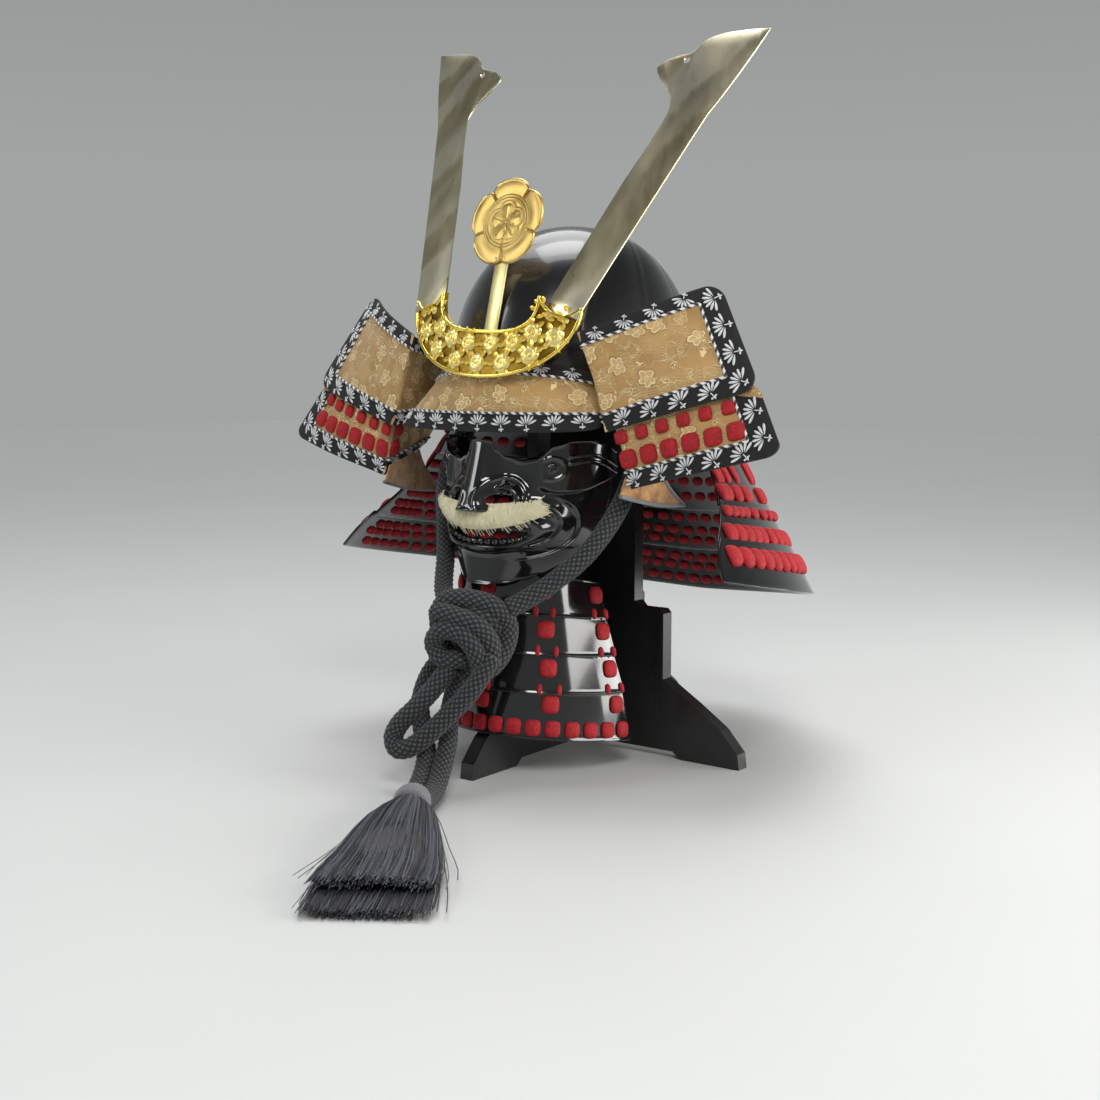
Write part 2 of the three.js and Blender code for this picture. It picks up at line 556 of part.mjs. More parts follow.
function maskSurface(u, v) {
  const t = 2 * u - 1;
  const angle = mask.halfAngle * Math.sign(t) * Math.abs(t) ** 1.2;
  const [top, bottom] = fromTable(maskEdges, 'at', Math.abs(angle), ['top', 'bottom']);
  const z = mix(bottom, top, v);
  const [half, front, square] = fromTable(maskSections, 'z', z, ['half', 'front', 'square']);
  const [x0, y0] = superellipse(half, front, square, radians(90 - angle));
  const away = vector(x0, -y0, 0).normalize();
  let lift = 0;
  // nose: a ridge that grows from the bridge to the tip and stops short above the lip
  const down = THREE.MathUtils.clamp((318 - z) / 60, 0, 1);
  const underTip = THREE.MathUtils.smoothstep(z, 250, 259);
  const noseWidth = mix(9, mask.noseHalf + 3, down);
  lift += mix(12, 29, down) * underTip * Math.max(1 - (Math.abs(x0) / noseWidth) ** 1.7, 0);
  // nostril wings
  lift += 8 * Math.exp(-(((Math.abs(x0) - 19) / 7) ** 2) - ((z - 265) / 9) ** 2);
  // cheek bands stand proud of the face
  const onBand = THREE.MathUtils.smoothstep(Math.abs(angle), 36, 44);
  lift += 4.5 * onBand * THREE.MathUtils.smoothstep(z, 268, 276);
  // folds round the mouth and the lower lip's roll
  const fromMouth = Math.hypot(x0 / (mask.mouthHalf + 6), (z - mask.mouthZ) / (mask.mouthHalfHeight + 5));
  lift += 4 * Math.exp(-(((fromMouth - 1) / 0.16) ** 2));
  lift -= 4 * Math.exp(-(((z - 214) / 6) ** 2)) * (Math.abs(x0) < 45 ? 1 : 0.3);
  return vector(x0, mask.axisY - y0, z).addScaledVector(away, lift);
}

function maskGeometry() {
  const shell = wall(maskSurface, mask.around, mask.upward, mask.wall, towardsMaskAxis);
  const opening = (x, z, halfX, halfZ, power, sides) => {
    const shape = new THREE.Shape(Array.from({ length: sides }, (_, k) => {
      const [dx, dz] = superellipse(halfX, halfZ, power, (2 * Math.PI * k) / sides);
      return new THREE.Vector2(x + dx, z + dz);
    }));
    const cutter = new THREE.ExtrudeGeometry(shape, { depth: 110, bevelEnabled: false });
    cutter.rotateX(Math.PI / 2);
    cutter.translate(0, -120, 0);
    return cutter;
  };
  const mouth = opening(0, mask.mouthZ, mask.mouthHalf, mask.mouthHalfHeight, 2.6, 16);
  const nostrils = [-1, 1].map((side) => opening(side * mask.nostrilX, mask.nostrilZ, 6, 4, 2, 6));
  return fromSolid(solid(cutBy(shell, [mouth, ...nostrils])).simplify(0.1));
}

// The part of the mask's height, 0 at its lower edge, at which column u passes level z.
function partAtLevel(u, z) {
  const low = maskSurface(u, 0).z;
  return THREE.MathUtils.clamp((z - low) / (maskSurface(u, 1).z - low), 0, 1);
}

// The hidden bar that carries the mask on the front edge of the stand's post. It is trimmed to
// the room inside the mask.
function maskBracketGeometry() {
  const b = maskBracket;
  const box = (x, y0, y1) => moved(new THREE.BoxGeometry(2 * x, y1 - y0, b.topZ - b.bottomZ),
    [0, (y0 + y1) / 2, (b.topZ + b.bottomZ) / 2]);
  const inset = mask.wall + 2 * gap;
  const outline = (z) => Array.from({ length: 25 }, (_, k) => {
    const point = maskSurface(0.04 + 0.92 * (k / 24), partAtLevel(0.04 + 0.92 * (k / 24), z));
    return point.addScaledVector(towardsMaskAxis(point), inset).setZ(z);
  });
  const room = loft([outline(b.bottomZ - 4), outline(b.topZ + 4)]);
  const bar = solid(box(b.barHalf, b.barFrontY, b.barBackY)).intersect(solid(room));
  return fromSolid(bar.add(solid(box(b.pegHalf, b.barBackY - 2, -stand.postHalf - gap))));
}

function moustacheSurface(u, v) {
  const t = 2 * u - 1;
  const fullness = Math.sqrt(Math.max(1 - 0.75 * t * t, 0.1));
  const y = mix(moustache.centreY, moustache.endY, t * t) - 3 * (1 - (2 * v - 1) ** 2);
  return vector(moustache.half * t, y,
    moustache.z + moustache.endRise * t * t + (v - 0.5) * moustache.height * fullness);
}

// ---------- throat guard ----------
function throatSurface(index) {
  const { top, bottom } = throatLames[index];
  return (u, v) => {
    const angle = throat.halfAngle * (2 * u - 1);
    const turn = radians(angle);
    const at = (name) => mix(bottom[name], top[name], v);
    const ahead = Math.cos(turn);
    return vector(at('half') * Math.sin(turn), at('centre') + (at('front') - at('centre')) * ahead,
      mix(at('rearZ'), at('frontZ'), Math.max(ahead, 0)));
  };
}

// ---------- lacing ----------
// A row of laced knots on surface(u, v): square pads joined by their thread. Where the pads are
// far apart the thread is drawn in close beside each of them, so that they stay square.
function lacingRow(surface, v, uFrom, uTo, count, size = lace.width) {
  const rings = [];
  const pitch = (uTo - uFrom) / (count - 1);
  const spanAt = (u) => surface(u + 1e-3, v).distanceTo(surface(u, v)) / 1e-3;
  const riseAt = surface(0.5, v + 1e-3).distanceTo(surface(0.5, v)) / 1e-3;
  const ring = (u, high, base, deep) => {
    const reach = high / 2 / riseAt;
    const corner = (side, depth) =>
      surface(u, v + side * reach).addScaledVector(normalOf(surface, u, v + side * reach), depth);
    rings.push([corner(-1, base), corner(1, base), corner(1, deep).lerp(corner(-1, deep), 0.12),
      corner(-1, deep).lerp(corner(1, deep), 0.12)]);
  };
  const thread = (u) => ring(u, lace.threadHeight, lace.threadBase, lace.threadBase + lace.threadDepth);
  for (let k = 0; k < count; k += 1) {
    const u = uFrom + k * pitch;
    const half = size / 2 / spanAt(u);
    const sparse = pitch > 4 * half;
    if (k && sparse) thread(u - half * 1.12);
    ring(u - half, lace.height * 0.9, 2 * gap, lace.depth * 0.7);
    ring(u + half, lace.height * 0.9, 2 * gap, lace.depth);
    if (k + 1 < count) {
      if (sparse) thread(u + half * 1.12);
      thread(u + pitch / 2);
    }
  }
  return loft(rings);
}

// ---------- chin cord, knot and tassel ----------
// With a clearance it is the room that the cords' ends stop at.
function knotGeometry(clearance = 0) {
  const core = new THREE.SphereGeometry(1, 8, 6);
  core.scale(...knot.core.map((half) => half + clearance));
  const wraps = knotWraps.map((wrap) => {
    const ring = new THREE.TorusGeometry(wrap.ring, cord.radius + clearance, 6, 10);
    ring.scale(1, wrap.squeeze, 1);
    ring.rotateX(radians(wrap.x));
    ring.rotateY(radians(wrap.y));
    ring.rotateZ(radians(wrap.z));
    return moved(ring, wrap.shift);
  });
  return moved(joined([core, ...wraps]), knot.centre);
}

// The head and the locks that fan out from it along the floor, fused.
const tasselHead = (clearance = 0) => {
  const head = new THREE.SphereGeometry(tassel.headRadius + clearance, 8, 6);
  return moved(head.scale(1, 1, 0.92), tassel.head);
};

function tasselGeometry() {
  const [x, y, z] = tassel.head;
  const along = vector(...tassel.toward, 0).normalize();
  const aside = vector(-along.y, along.x, 0);
  const locks = tassel.layers.flatMap(({ locks: count, height, reach }) =>
    Array.from({ length: count }, (_, k) => {
      const spread = count > 1 ? (2 * k) / (count - 1) - 1 : 0;
      const route = [0, 0.3, 0.65, 1].map((part) => {
        const side = spread * mix(5, tassel.endHalf - tassel.lockRadius, part ** 0.85) * reach;
        const level = mix(z, height + tassel.lift, Math.min(part * 2.4, 1));
        const point = vector(x, y, level).addScaledVector(along, part * tassel.length * reach);
        return point.addScaledVector(aside, side).toArray();
      });
      return tube(route, tassel.lockRadius, 3, 4);
    }));
  const whole = solid(joined([tasselHead(), ...locks]));
  const floor = new THREE.BoxGeometry(900, 900, 60);
  return fromSolid(whole.subtract(solid(moved(floor, [x, y, -30 + tassel.lift]))));
}

// ---------- assembly ----------
const helmet = new THREE.Group();
const add = (name, geometry, material) => helmet.add(piece(name, geometry, material));
const sides = [['left', (geometry) => geometry], ['right', mirrored]];

add('stand_board_cross', standBoard(true), blackWood());
add('stand_board_side', standBoard(false).rotateZ(Math.PI / 2), blackWood());
add('mask_bracket', maskBracketGeometry(), blackWood());
add('bowl', bowlGeometry(), lacquer());

const crown = piece('crown_ring', crownRingGeometry(), gilt());
const crownPart = (crownRing.y - bowl.centreY) / bowl.halfLength;
crown.position.set(0, crownRing.y, domeHeight(crownPart) + 2.2);
const crownFall = domeHeight(crownPart - 0.05) - domeHeight(crownPart + 0.05);
crown.rotation.x = -Math.atan2(crownFall, 0.1 * bowl.halfLength);
helmet.add(crown);

add('visor', wall(visorSurface, 20, 2, visor.wall), brocade());

const socketBlock = new THREE.BoxGeometry(2 * crestSocket.halfWidth, crestSocket.backY - crestSocket.frontY,
  crestSocket.topZ - crestSocket.bottomZ);
moved(socketBlock,
  [0, mix(crestSocket.frontY, crestSocket.backY, 0.5), mix(crestSocket.topZ, crestSocket.bottomZ, 0.5)]);
add('crest_socket', cutBy(socketBlock, [bowlGeometry(gap + bowl.plateBulge)]), blackWood());

const rig = new THREE.Group();
rig.position.z = crestRig.pivotZ;
rig.rotation.y = radians(crestRig.roll);
rig.add(piece('horn_base', hornBaseGeometry(), gilt()));
for (const [side, turned] of sides) rig.add(piece(`horn_${side}`, turned(hornGeometry()), paleBrass()));
helmet.add(rig);

const crestMount = new THREE.Group();
crestMount.position.set(0, crest.stemY, crest.stemBottomZ);
crestMount.rotation.x = -radians(crest.lean);
const stemLength = (crest.flowerZ - crest.stemBottomZ) / Math.cos(radians(crest.lean));
const flower = piece('crest_flower', crestFlower(), gilt());
flower.position.z = stemLength;
crestMount.add(flower);
const stem = new THREE.BoxGeometry(crest.stemWidth, crest.stemThickness, stemLength - crest.radius + 14);
moved(stem, [0, crest.stemThickness / 2 + gap, stem.parameters.depth / 2]);
crestMount.add(piece('crest_stem', stem, paleBrass()));
helmet.add(crestMount);

for (const tier of turnbackTiers) {
  const surface = crowded(turnbackSurface(tier));
  const rows = tier.name === 'lower' ? [['upper', 0.68], ['lower', 0.38]] : [];
  for (const [side, turned] of sides) {
    add(`turnback_${tier.name}_${side}`, turned(wall(surface, 13, 2, turnback.wall)), brocade());
    for (const [row, v] of rows) {
      add(`turnback_lacing_${row}_${side}`, turned(lacingRow(surface, v, 0.42, 0.84, 7)), redSilk());
    }
  }
}
for (const [side, turned] of sides) {
  const { lowFront, lowBack, topFront, topBack } = earFlap;
  const flap = (u, v) => vector(...lowFront).lerp(vector(...lowBack), u)
    .lerp(vector(...topFront).lerp(vector(...topBack), u), v);
  add(`ear_flap_${side}`, turned(wall(flap, 3, 1, earFlap.wall)), suede());
}

for (let index = 0; index < neck.lames; index += 1) {
  add(`neck_lame_${index + 1}`, wall(neckSurface(index), neck.around, 1, neck.wall), lacquer());
  if (index >= neck.firstBand) add(`neck_lacing_${index + 1}`, neckBand(index), redSilk());
}

const maskShell = maskGeometry();
add('face_mask', maskShell, lacquer());
const clearOfMask = (u, v) => {
  const point = maskSurface(u, v);
  return point.addScaledVector(towardsMaskAxis(point), -gap);
};
const maskRoom = wall(clearOfMask, mask.around, mask.upward, mask.wall + 2 * gap, towardsMaskAxis);
const strip = wall(moustacheSurface, 10, 2, moustache.thickness, () => vector(0, 1, 0));
add('moustache', trimmed(strip, [maskRoom]), hair());

throatLames.forEach((lame, index) => {
  const surface = throatSurface(index);
  const last = index === throatLames.length - 1;
  add(`throat_lame_${index + 1}`, wall(surface, throat.around, 1, throat.wall), lacquer());
  const sparseAt = last ? throatRows.lastSparseHeight : throatRows.sparseHeight;
  add(`throat_lacing_${index + 1}`, lacingRow(surface, sparseAt, 0.04, 0.96, throatRows.sparse), redSilk());
  if (last) {
    const dense = lacingRow(surface, throatRows.denseHeight, 0.035, 0.965, throatRows.dense);
    add('throat_lacing_hem', dense, redSilk());
  }
});

const knotRoom = knotGeometry(2 * gap);
const cordRoutes = [
  // name, route, steps
  { name: 'chin_cord_left', route: leftCord, steps: 11 },
  { name: 'chin_cord_right', route: rightCord, steps: 11 },
  { name: 'cord_loop', route: loopCord, steps: 12 },
  { name: 'cord_tail_left', route: tailCords.left, steps: 10 },
  { name: 'cord_tail_right', route: tailCords.right, steps: 10 },
];
for (const { name, route, steps } of cordRoutes) {
  add(name, trimmed(tube(route, cord.radius, steps), [knotRoom, tasselHead(2 * gap)]), cordFibre());
}
add('cord_knot', knotGeometry(), cordFibre());
add('tassel', tasselGeometry(), finish(0x2b3038, 0.6, 0.0));

helmet.position.y = footprintShift;
export default helmet;
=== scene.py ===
import math
import random

import bpy
import numpy as np
from mathutils import Matrix, Vector


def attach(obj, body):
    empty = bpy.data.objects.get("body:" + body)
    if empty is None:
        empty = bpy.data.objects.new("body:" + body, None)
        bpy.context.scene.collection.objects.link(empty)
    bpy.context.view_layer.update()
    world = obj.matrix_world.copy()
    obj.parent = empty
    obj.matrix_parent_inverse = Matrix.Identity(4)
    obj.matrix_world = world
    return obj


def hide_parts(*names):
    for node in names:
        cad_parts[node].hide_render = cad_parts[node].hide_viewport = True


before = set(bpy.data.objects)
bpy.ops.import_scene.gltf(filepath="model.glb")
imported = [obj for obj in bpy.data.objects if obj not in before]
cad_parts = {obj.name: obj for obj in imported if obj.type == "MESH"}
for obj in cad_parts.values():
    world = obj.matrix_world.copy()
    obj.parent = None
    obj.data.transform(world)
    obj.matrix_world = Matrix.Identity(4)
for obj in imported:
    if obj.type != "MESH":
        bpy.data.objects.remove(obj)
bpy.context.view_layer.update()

# Sizes below are in millimetres, in the frame of the drawing. The floor is z = 0, the helmet
# faces -y and the wearer's left is +x. Each piece is turned into metres as it is made.
footprintShift = -21.0
millimetre = 0.001
random.seed(7)


def toWorld(point):
    return Vector((point[0], point[1] + footprintShift, point[2])) * millimetre


def mix(a, b, part):
    return a + (b - a) * part


def clamp(value, low=0.0, high=1.0):
    return min(max(value, low), high)


def smoothstep(value, low, high):
    part = clamp((value - low) / (high - low))
    return part * part * (3 - 2 * part)


# 1 at the centre, falling away smoothly on both sides.
def bump(value, centre, width):
    return math.exp(-(((value - centre) / width) ** 2))


def superellipse(halfX, halfZ, power, turn):
    c, s = math.cos(turn), math.sin(turn)
    return (halfX * math.copysign(abs(c) ** (2 / power), c),
            halfZ * math.copysign(abs(s) ** (2 / power), s))


sideNames = {1: "Left", -1: "Right"}


# The view is from ahead and a little to the wearer's left.
view = {"azimuth": 37.0, "distance": 1516.0, "aside": 34.8, "height": 385.0, "pitch": 7.03,
        "lens": 49.09, "sensor": 36.0, "farthest": 50}


def addCamera():
    azimuth, pitch = math.radians(view["azimuth"]), math.radians(view["pitch"])
    forward = Vector((-math.sin(azimuth), math.cos(azimuth), 0))
    right = Vector((forward.y, -forward.x, 0))
    place = -forward * view["distance"] - right * view["aside"] + Vector((0, 0, view["height"]))
    bpy.ops.object.camera_add(location=toWorld(place))
    camera = bpy.context.object
    aim = forward * math.cos(pitch) - Vector((0, 0, math.sin(pitch)))
    camera.rotation_mode = "QUATERNION"
    camera.rotation_quaternion = aim.to_track_quat("-Z", "Y")
    camera.data.lens = view["lens"]
    camera.data.sensor_width = view["sensor"]
    camera.data.clip_end = view["farthest"]
    bpy.context.scene.camera = camera


def addLight(name, place, target, size, power, colour):
    bpy.ops.object.light_add(type="AREA", location=place)
    light = bpy.context.object
    light.name = name
    light.data.shape = "RECTANGLE"
    light.data.size, light.data.size_y = size
    light.data.energy = power
    light.data.color = colour
    light.rotation_mode = "QUATERNION"
    light.rotation_quaternion = (Vector(target) - Vector(place)).to_track_quat("-Z", "Y")


# A panel has a place, a target, a width and height, a power and a colour, in metres and watts.
studio = {
    "panels": {
        "keyPanel": ((1.3, -1.6, 1.9), (0, -0.05, 0.35), (0.8, 0.8), 27, (1, 0.98, 0.95)),
        "sidePanel": ((1.50, 0.30, 0.58), (0.0, -0.05, 0.3), (1.3, 0.44), 15, (1, 0.99, 0.96)),
        "cheekPanel": ((1.05, 0.85, 0.16), (0.08, -0.1, 0.26), (0.8, 0.3), 6, (1, 0.99, 0.95)),
        "leftPanel": ((-1.3, -1.9, 1.4), (0, -0.1, 0.4), (0.5, 1.2), 12, (0.95, 0.98, 1)),
        "topPanel": ((-0.2, 0.2, 2.3), (0, 0, 0.4), (1.0, 1.0), 12, (1, 1, 1)),
    },
    "fillPower": 1.5, "fillSoftness": 50, "fillTilt": (-22, -20),
    "horizon": (0.36, 0.375, 0.37), "overhead": (0.10, 0.105, 0.11), "fadeFrom": 0.12, "fadeTo": 0.75,
    "floorColour": (0.56, 0.57, 0.565), "floorSize": 14,
}


def addFill():
    bpy.ops.object.light_add(type="SUN", location=(-1, 1, 3))
    fill = bpy.context.object
    fill.name = "fillSky"
    fill.data.energy = studio["fillPower"]
    fill.data.angle = math.radians(studio["fillSoftness"])
    fill.rotation_euler = (*map(math.radians, studio["fillTilt"]), 0)


addCamera()
for panelName, panel in studio["panels"].items():
    addLight(panelName, *panel)
addFill()


# The studio is grey low down and dim overhead, so that the panels are what the lacquer mirrors.
def makeWorld():
    world = bpy.data.worlds.new("studioWorld")
    bpy.context.scene.world = world
    world.use_nodes = True
    tree = world.node_tree
    direction = tree.nodes.new("ShaderNodeTexCoord")
    parts = tree.nodes.new("ShaderNodeSeparateXYZ")
    fade = tree.nodes.new("ShaderNodeValToRGB")
    low, high = fade.color_ramp.elements
    low.position, high.position = studio["fadeFrom"], studio["fadeTo"]
    low.color, high.color = (*studio["horizon"], 1), (*studio["overhead"], 1)
    tree.links.new(direction.outputs["Generated"], parts.inputs[0])
    tree.links.new(parts.outputs[2], fade.inputs[0])
    tree.links.new(fade.outputs[0], tree.nodes["Background"].inputs["Color"])


makeWorld()
bpy.context.scene.view_settings.view_transform = "Standard"
print("camera and lights placed")


# A new material takes its shader's values by name, with _ for a space.
def newMaterial(name, **values):
    material = bpy.data.materials.new(name)
    material.use_nodes = True
    shader = material.node_tree.nodes["Principled BSDF"]
    for socket, value in values.items():
        shader.inputs[socket.replace("_", " ")].default_value = value
    return material


# Inputs are given by name, with _ for a space, or as i0, i1 and so on.
def addNode(material, kind, settings=None, **inputs):
    node = material.node_tree.nodes.new(kind)
    for name, value in (settings or {}).items():
        setattr(node, name, value)
    for name, value in inputs.items():
        byNumber = name[0] == "i" and name[1:].isdigit()
        socket = node.inputs[int(name[1:])] if byNumber else node.inputs[name.replace("_", " ")]
        if isinstance(value, bpy.types.NodeSocket):
            material.node_tree.links.new(value, socket)
        else:
            socket.default_value = value
    return node


def feed(material, socketName, output):
    shader = material.node_tree.nodes["Principled BSDF"]
    material.node_tree.links.new(output, shader.inputs[socketName])


def coordinates(material, source="Object", stretch=(1, 1, 1)):
    place = addNode(material, "ShaderNodeTexCoord")
    mapping = addNode(material, "ShaderNodeMapping", Vector=place.outputs[source])
    mapping.inputs["Scale"].default_value = stretch
    return mapping.outputs[0]


def noise(material, where, scale, detail=3.0, roughness=0.55):
    return addNode(material, "ShaderNodeTexNoise", Vector=where, Scale=scale, Detail=detail,
                   Roughness=roughness).outputs[0]


def ramp(material, factor, stops):
    node = addNode(material, "ShaderNodeValToRGB", Fac=factor)
    while len(node.color_ramp.elements) < len(stops):
        node.color_ramp.elements.new(0.5)
    for element, (place, colour) in zip(node.color_ramp.elements, stops):
        element.position = place
        element.color = (*colour, 1)
    return node.outputs[0]


def remap(material, value, low, high, fromLow=0.0, fromHigh=1.0):
    node = addNode(material, "ShaderNodeMapRange", i0=value, i1=fromLow, i2=fromHigh, i3=low, i4=high)
    return node.outputs[0]


def calculate(material, operation, a, b=0.0):
    return addNode(material, "ShaderNodeMath", {"operation": operation}, i0=a, i1=b).outputs[0]


def blendColour(material, factor, a, b):
    node = addNode(material, "ShaderNodeMix", {"data_type": "RGBA"}, i0=factor)
    for socket, value in ((node.inputs[6], a), (node.inputs[7], b)):
        if isinstance(value, bpy.types.NodeSocket):
            material.node_tree.links.new(value, socket)
        else:
            socket.default_value = (*value, 1)
    return node.outputs[2]


def addBump(material, height, distance, strength=1.0, before=None):
    node = addNode(material, "ShaderNodeBump", Height=height, Strength=strength, Distance=distance)
    if before is not None:
        material.node_tree.links.new(before, node.inputs["Normal"])
    feed(material, "Normal", node.outputs[0])
    return node.outputs[0]


# Most of a noise lies between these two values.
usualNoise = {"fromLow": 0.3, "fromHigh": 0.7}


def makeLacquer(name, colour, rough):
    material = newMaterial(name, Coat_Weight=0.6, Coat_Roughness=0.06, IOR=1.5)
    where = coordinates(material)
    waves = noise(material, where, scale=9, detail=4)
    dust = noise(material, where, scale=420, detail=2)
    feed(material, "Roughness", remap(material, waves, *rough, **usualNoise))
    feed(material, "Base Color", blendColour(material, waves, colour, [c * 2.2 for c in colour]))
    wavy = addBump(material, waves, distance=0.0012, strength=0.25)
    addBump(material, dust, distance=0.00004, strength=0.35, before=wavy)
    return material


def makeGold(name, colours, rough, grain):
    material = newMaterial(name, Metallic=1.0)
    where = coordinates(material)
    patches = noise(material, where, scale=34, detail=4)
    feed(material, "Base Color", ramp(material, patches, [(0.3, colours[0]), (0.7, colours[1])]))
    feed(material, "Roughness", remap(material, patches, *rough, **usualNoise))
    addBump(material, noise(material, where, scale=700, detail=3), distance=grain, strength=0.5)
    return material


# Polished pale brass: slanting light and dark bands with crisp edges are painted into its colour, as a
# painted reflection of the room.
brass = {"dark": (0.46, 0.40, 0.25), "light": (0.80, 0.74, 0.56), "streak": (0.62, 0.55, 0.37),
         "slant": -1.1, "wander": 0.05, "bandScale": 13.0, "bandEdge": (0.46, 0.54), "rough": (0.24, 0.38)}


def makePaleBrass():
    material = newMaterial("paleBrass", Metallic=1.0)
    streaks = noise(material, coordinates(material, stretch=(1, 1, 0.16)), scale=30, detail=4, roughness=0.6)
    place = addNode(material, "ShaderNodeSeparateXYZ", i0=coordinates(material)).outputs
    lean = calculate(material, "MULTIPLY", place[0], brass["slant"])
    lean = calculate(material, "ADD", lean, place[2])
    lean = calculate(material, "ADD", lean, calculate(material, "MULTIPLY", streaks, brass["wander"]))
    # painted reflection: bands of lighter and darker colour slant across the blade
    steps = addNode(material, "ShaderNodeTexNoise", {"noise_dimensions": "1D"}, W=lean,
                    Scale=brass["bandScale"], Detail=1.0)
    paintedReflectionBands = remap(material, steps.outputs[0], 0, 1, *brass["bandEdge"])
    colour = blendColour(material, paintedReflectionBands, brass["dark"], brass["light"])
    veil = remap(material, streaks, 0, 0.55, 0.4, 0.7)
    feed(material, "Base Color", blendColour(material, veil, colour, brass["streak"]))
    feed(material, "Roughness", remap(material, streaks, *brass["rough"], **usualNoise))
    addBump(material, streaks, distance=0.0006, strength=0.35)
    return material


# Woven gold brocade: flowers, scalloped clouds and stems on a tan twill. UV is in centimetres, and a
# line of the pattern has a middle and a half-width.
weave = {"flowers": 0.42, "clouds": 0.95, "curls": 0.85, "twill": 7.5, "drift": 0.9, "petalDepth": 0.13,
         "petalLine": (0.20, 0.045), "heartLine": (0.075, 0.035), "petalShade": (0.245, 0.035),
         "cloudLine": (0.42, 0.05), "outerCloudLine": (0.56, 0.035), "cloudShade": (0.475, 0.03),
         "stemLine": (0.5, 0.16), "ground": ((0.40, 0.23, 0.075), (0.53, 0.33, 0.125)),
         "petalFill": (0.66, 0.45, 0.19), "darkThread": (0.13, 0.06, 0.02),
         "goldThread": (0.86, 0.68, 0.36), "twillShade": (0.2, 0.12, 0.05)}


def makeBrocade():
    material = newMaterial("brocade", Sheen_Weight=0.2, Sheen_Roughness=0.4, Metallic=0.25)
    flat = coordinates(material, "UV")

    def times(a, b):
        return calculate(material, "MULTIPLY", a, b)

    def larger(a, b):
        return calculate(material, "MAXIMUM", a, b)

    def vectors(operation, a, **others):
        return addNode(material, "ShaderNodeVectorMath", {"operation": operation}, i0=a, **others).outputs[0]

    def line(value, centre, width):
        off = calculate(material, "ABSOLUTE", calculate(material, "SUBTRACT", value, centre))
        return remap(material, off, 1, 0, width * 0.5, width)

    drift = addNode(material, "ShaderNodeTexNoise", Vector=flat, Scale=0.8, Detail=2.0).outputs[1]
    pushed = vectors("SCALE", vectors("SUBTRACT", drift, i1=(0.5, 0.5, 0.5)), Scale=weave["drift"])
    warped = vectors("ADD", flat, i1=pushed)

    # flowers stand in some cells: petals and a ring about the cell's centre
    cells = addNode(material, "ShaderNodeTexVoronoi", {"voronoi_dimensions": "2D"}, Vector=warped,
                    Scale=weave["flowers"], Randomness=0.75)
    away, tint, centre = cells.outputs[:3]
    parts = addNode(material, "ShaderNodeSeparateXYZ", i0=vectors("SUBTRACT", warped, i1=centre)).outputs
    angle = calculate(material, "ARCTAN2", parts[1], parts[0])
    petals = calculate(material, "ABSOLUTE", calculate(material, "SINE", times(angle, 2.5)))
    reach = calculate(material, "SUBTRACT", away, times(petals, weave["petalDepth"]))
    rays = times(remap(material, petals, 1, 0, 0.1, 0.35), remap(material, away, 1, 0, 0.2, 0.26))
    flower = larger(larger(line(reach, *weave["petalLine"]), line(away, *weave["heartLine"])), rays)
    pick = addNode(material, "ShaderNodeSeparateXYZ", i0=tint).outputs[0]
    chosen = remap(material, pick, 0, 1, 0.40, 0.42)

    # clouds: two scalloped lines round groups of smaller cells
    puffs = addNode(material, "ShaderNodeTexVoronoi", {"voronoi_dimensions": "2D"}, Vector=warped,
                    Scale=weave["clouds"])
    clump = remap(material, noise(material, flat, scale=0.42, detail=1), 0.55, -0.55, 0.36, 0.64)
    edge = calculate(material, "ADD", puffs.outputs[0], clump)
    cloud = larger(line(edge, *weave["cloudLine"]), line(edge, *weave["outerCloudLine"]))
    cloud = times(cloud, remap(material, chosen, 1, 0.35))
    curl = addNode(material, "ShaderNodeTexWave", {"wave_type": "RINGS"}, Vector=warped,
                   Scale=weave["curls"], Distortion=9.0, Detail_Scale=0.9)
    stemField = remap(material, noise(material, flat, scale=0.6, detail=1), 0, 1, 0.50, 0.53)
    stems = times(line(curl.outputs[1], *weave["stemLine"]), stemField)
    drawn = larger(times(flower, chosen), larger(cloud, stems))

    tone = noise(material, flat, scale=0.5, detail=4)
    ground = ramp(material, tone, list(zip((0.3, 0.7), weave["ground"])))
    inner = times(remap(material, reach, 1, 0, 0.17, 0.2), chosen)
    ground = blendColour(material, times(inner, 0.7), ground, weave["petalFill"])
    # a thin dark thread runs round each flower and cloud
    shade = larger(times(line(reach, *weave["petalShade"]), chosen),
                   times(line(edge, *weave["cloudShade"]), remap(material, chosen, 1, 0.2)))
    ground = blendColour(material, times(shade, 0.75), ground, weave["darkThread"])
    twill = addNode(material, "ShaderNodeTexWave", {"bands_direction": "DIAGONAL"}, Vector=flat,
                    Scale=weave["twill"]).outputs[1]
    colour = blendColour(material, drawn, ground, weave["goldThread"])
    colour = blendColour(material, remap(material, twill, 0.0, 0.14), colour, weave["twillShade"])
    feed(material, "Base Color", colour)
    feed(material, "Roughness", remap(material, drawn, 0.62, 0.36))
    raisedThread = addBump(material, drawn, distance=0.0006, strength=0.8)
    addBump(material, twill, distance=0.00012, strength=0.5, before=raisedThread)
    return material


# Silk or cotton thread laid side by side; the ridges follow whichever way the noise is stretched.
def makeThread(name, dark, light, rough, thread, sheen, lines=(1, 1, 1), tint=(1, 1, 1)):
    material = newMaterial(name, Roughness=rough, Sheen_Weight=sheen, Sheen_Roughness=0.45,
                           Sheen_Tint=(*tint, 1))
    strands = noise(material, coordinates(material, stretch=lines), scale=thread, detail=3, roughness=0.7)
    broad = noise(material, coordinates(material), scale=60, detail=2)
    shade = calculate(material, "MULTIPLY", remap(material, strands, 0, 1, **usualNoise),
                      remap(material, broad, 0.75, 1, 0.3, 0.6))
    feed(material, "Base Color", blendColour(material, shade, dark, light))
    addBump(material, strands, distance=0.0006, strength=0.9)
    return material


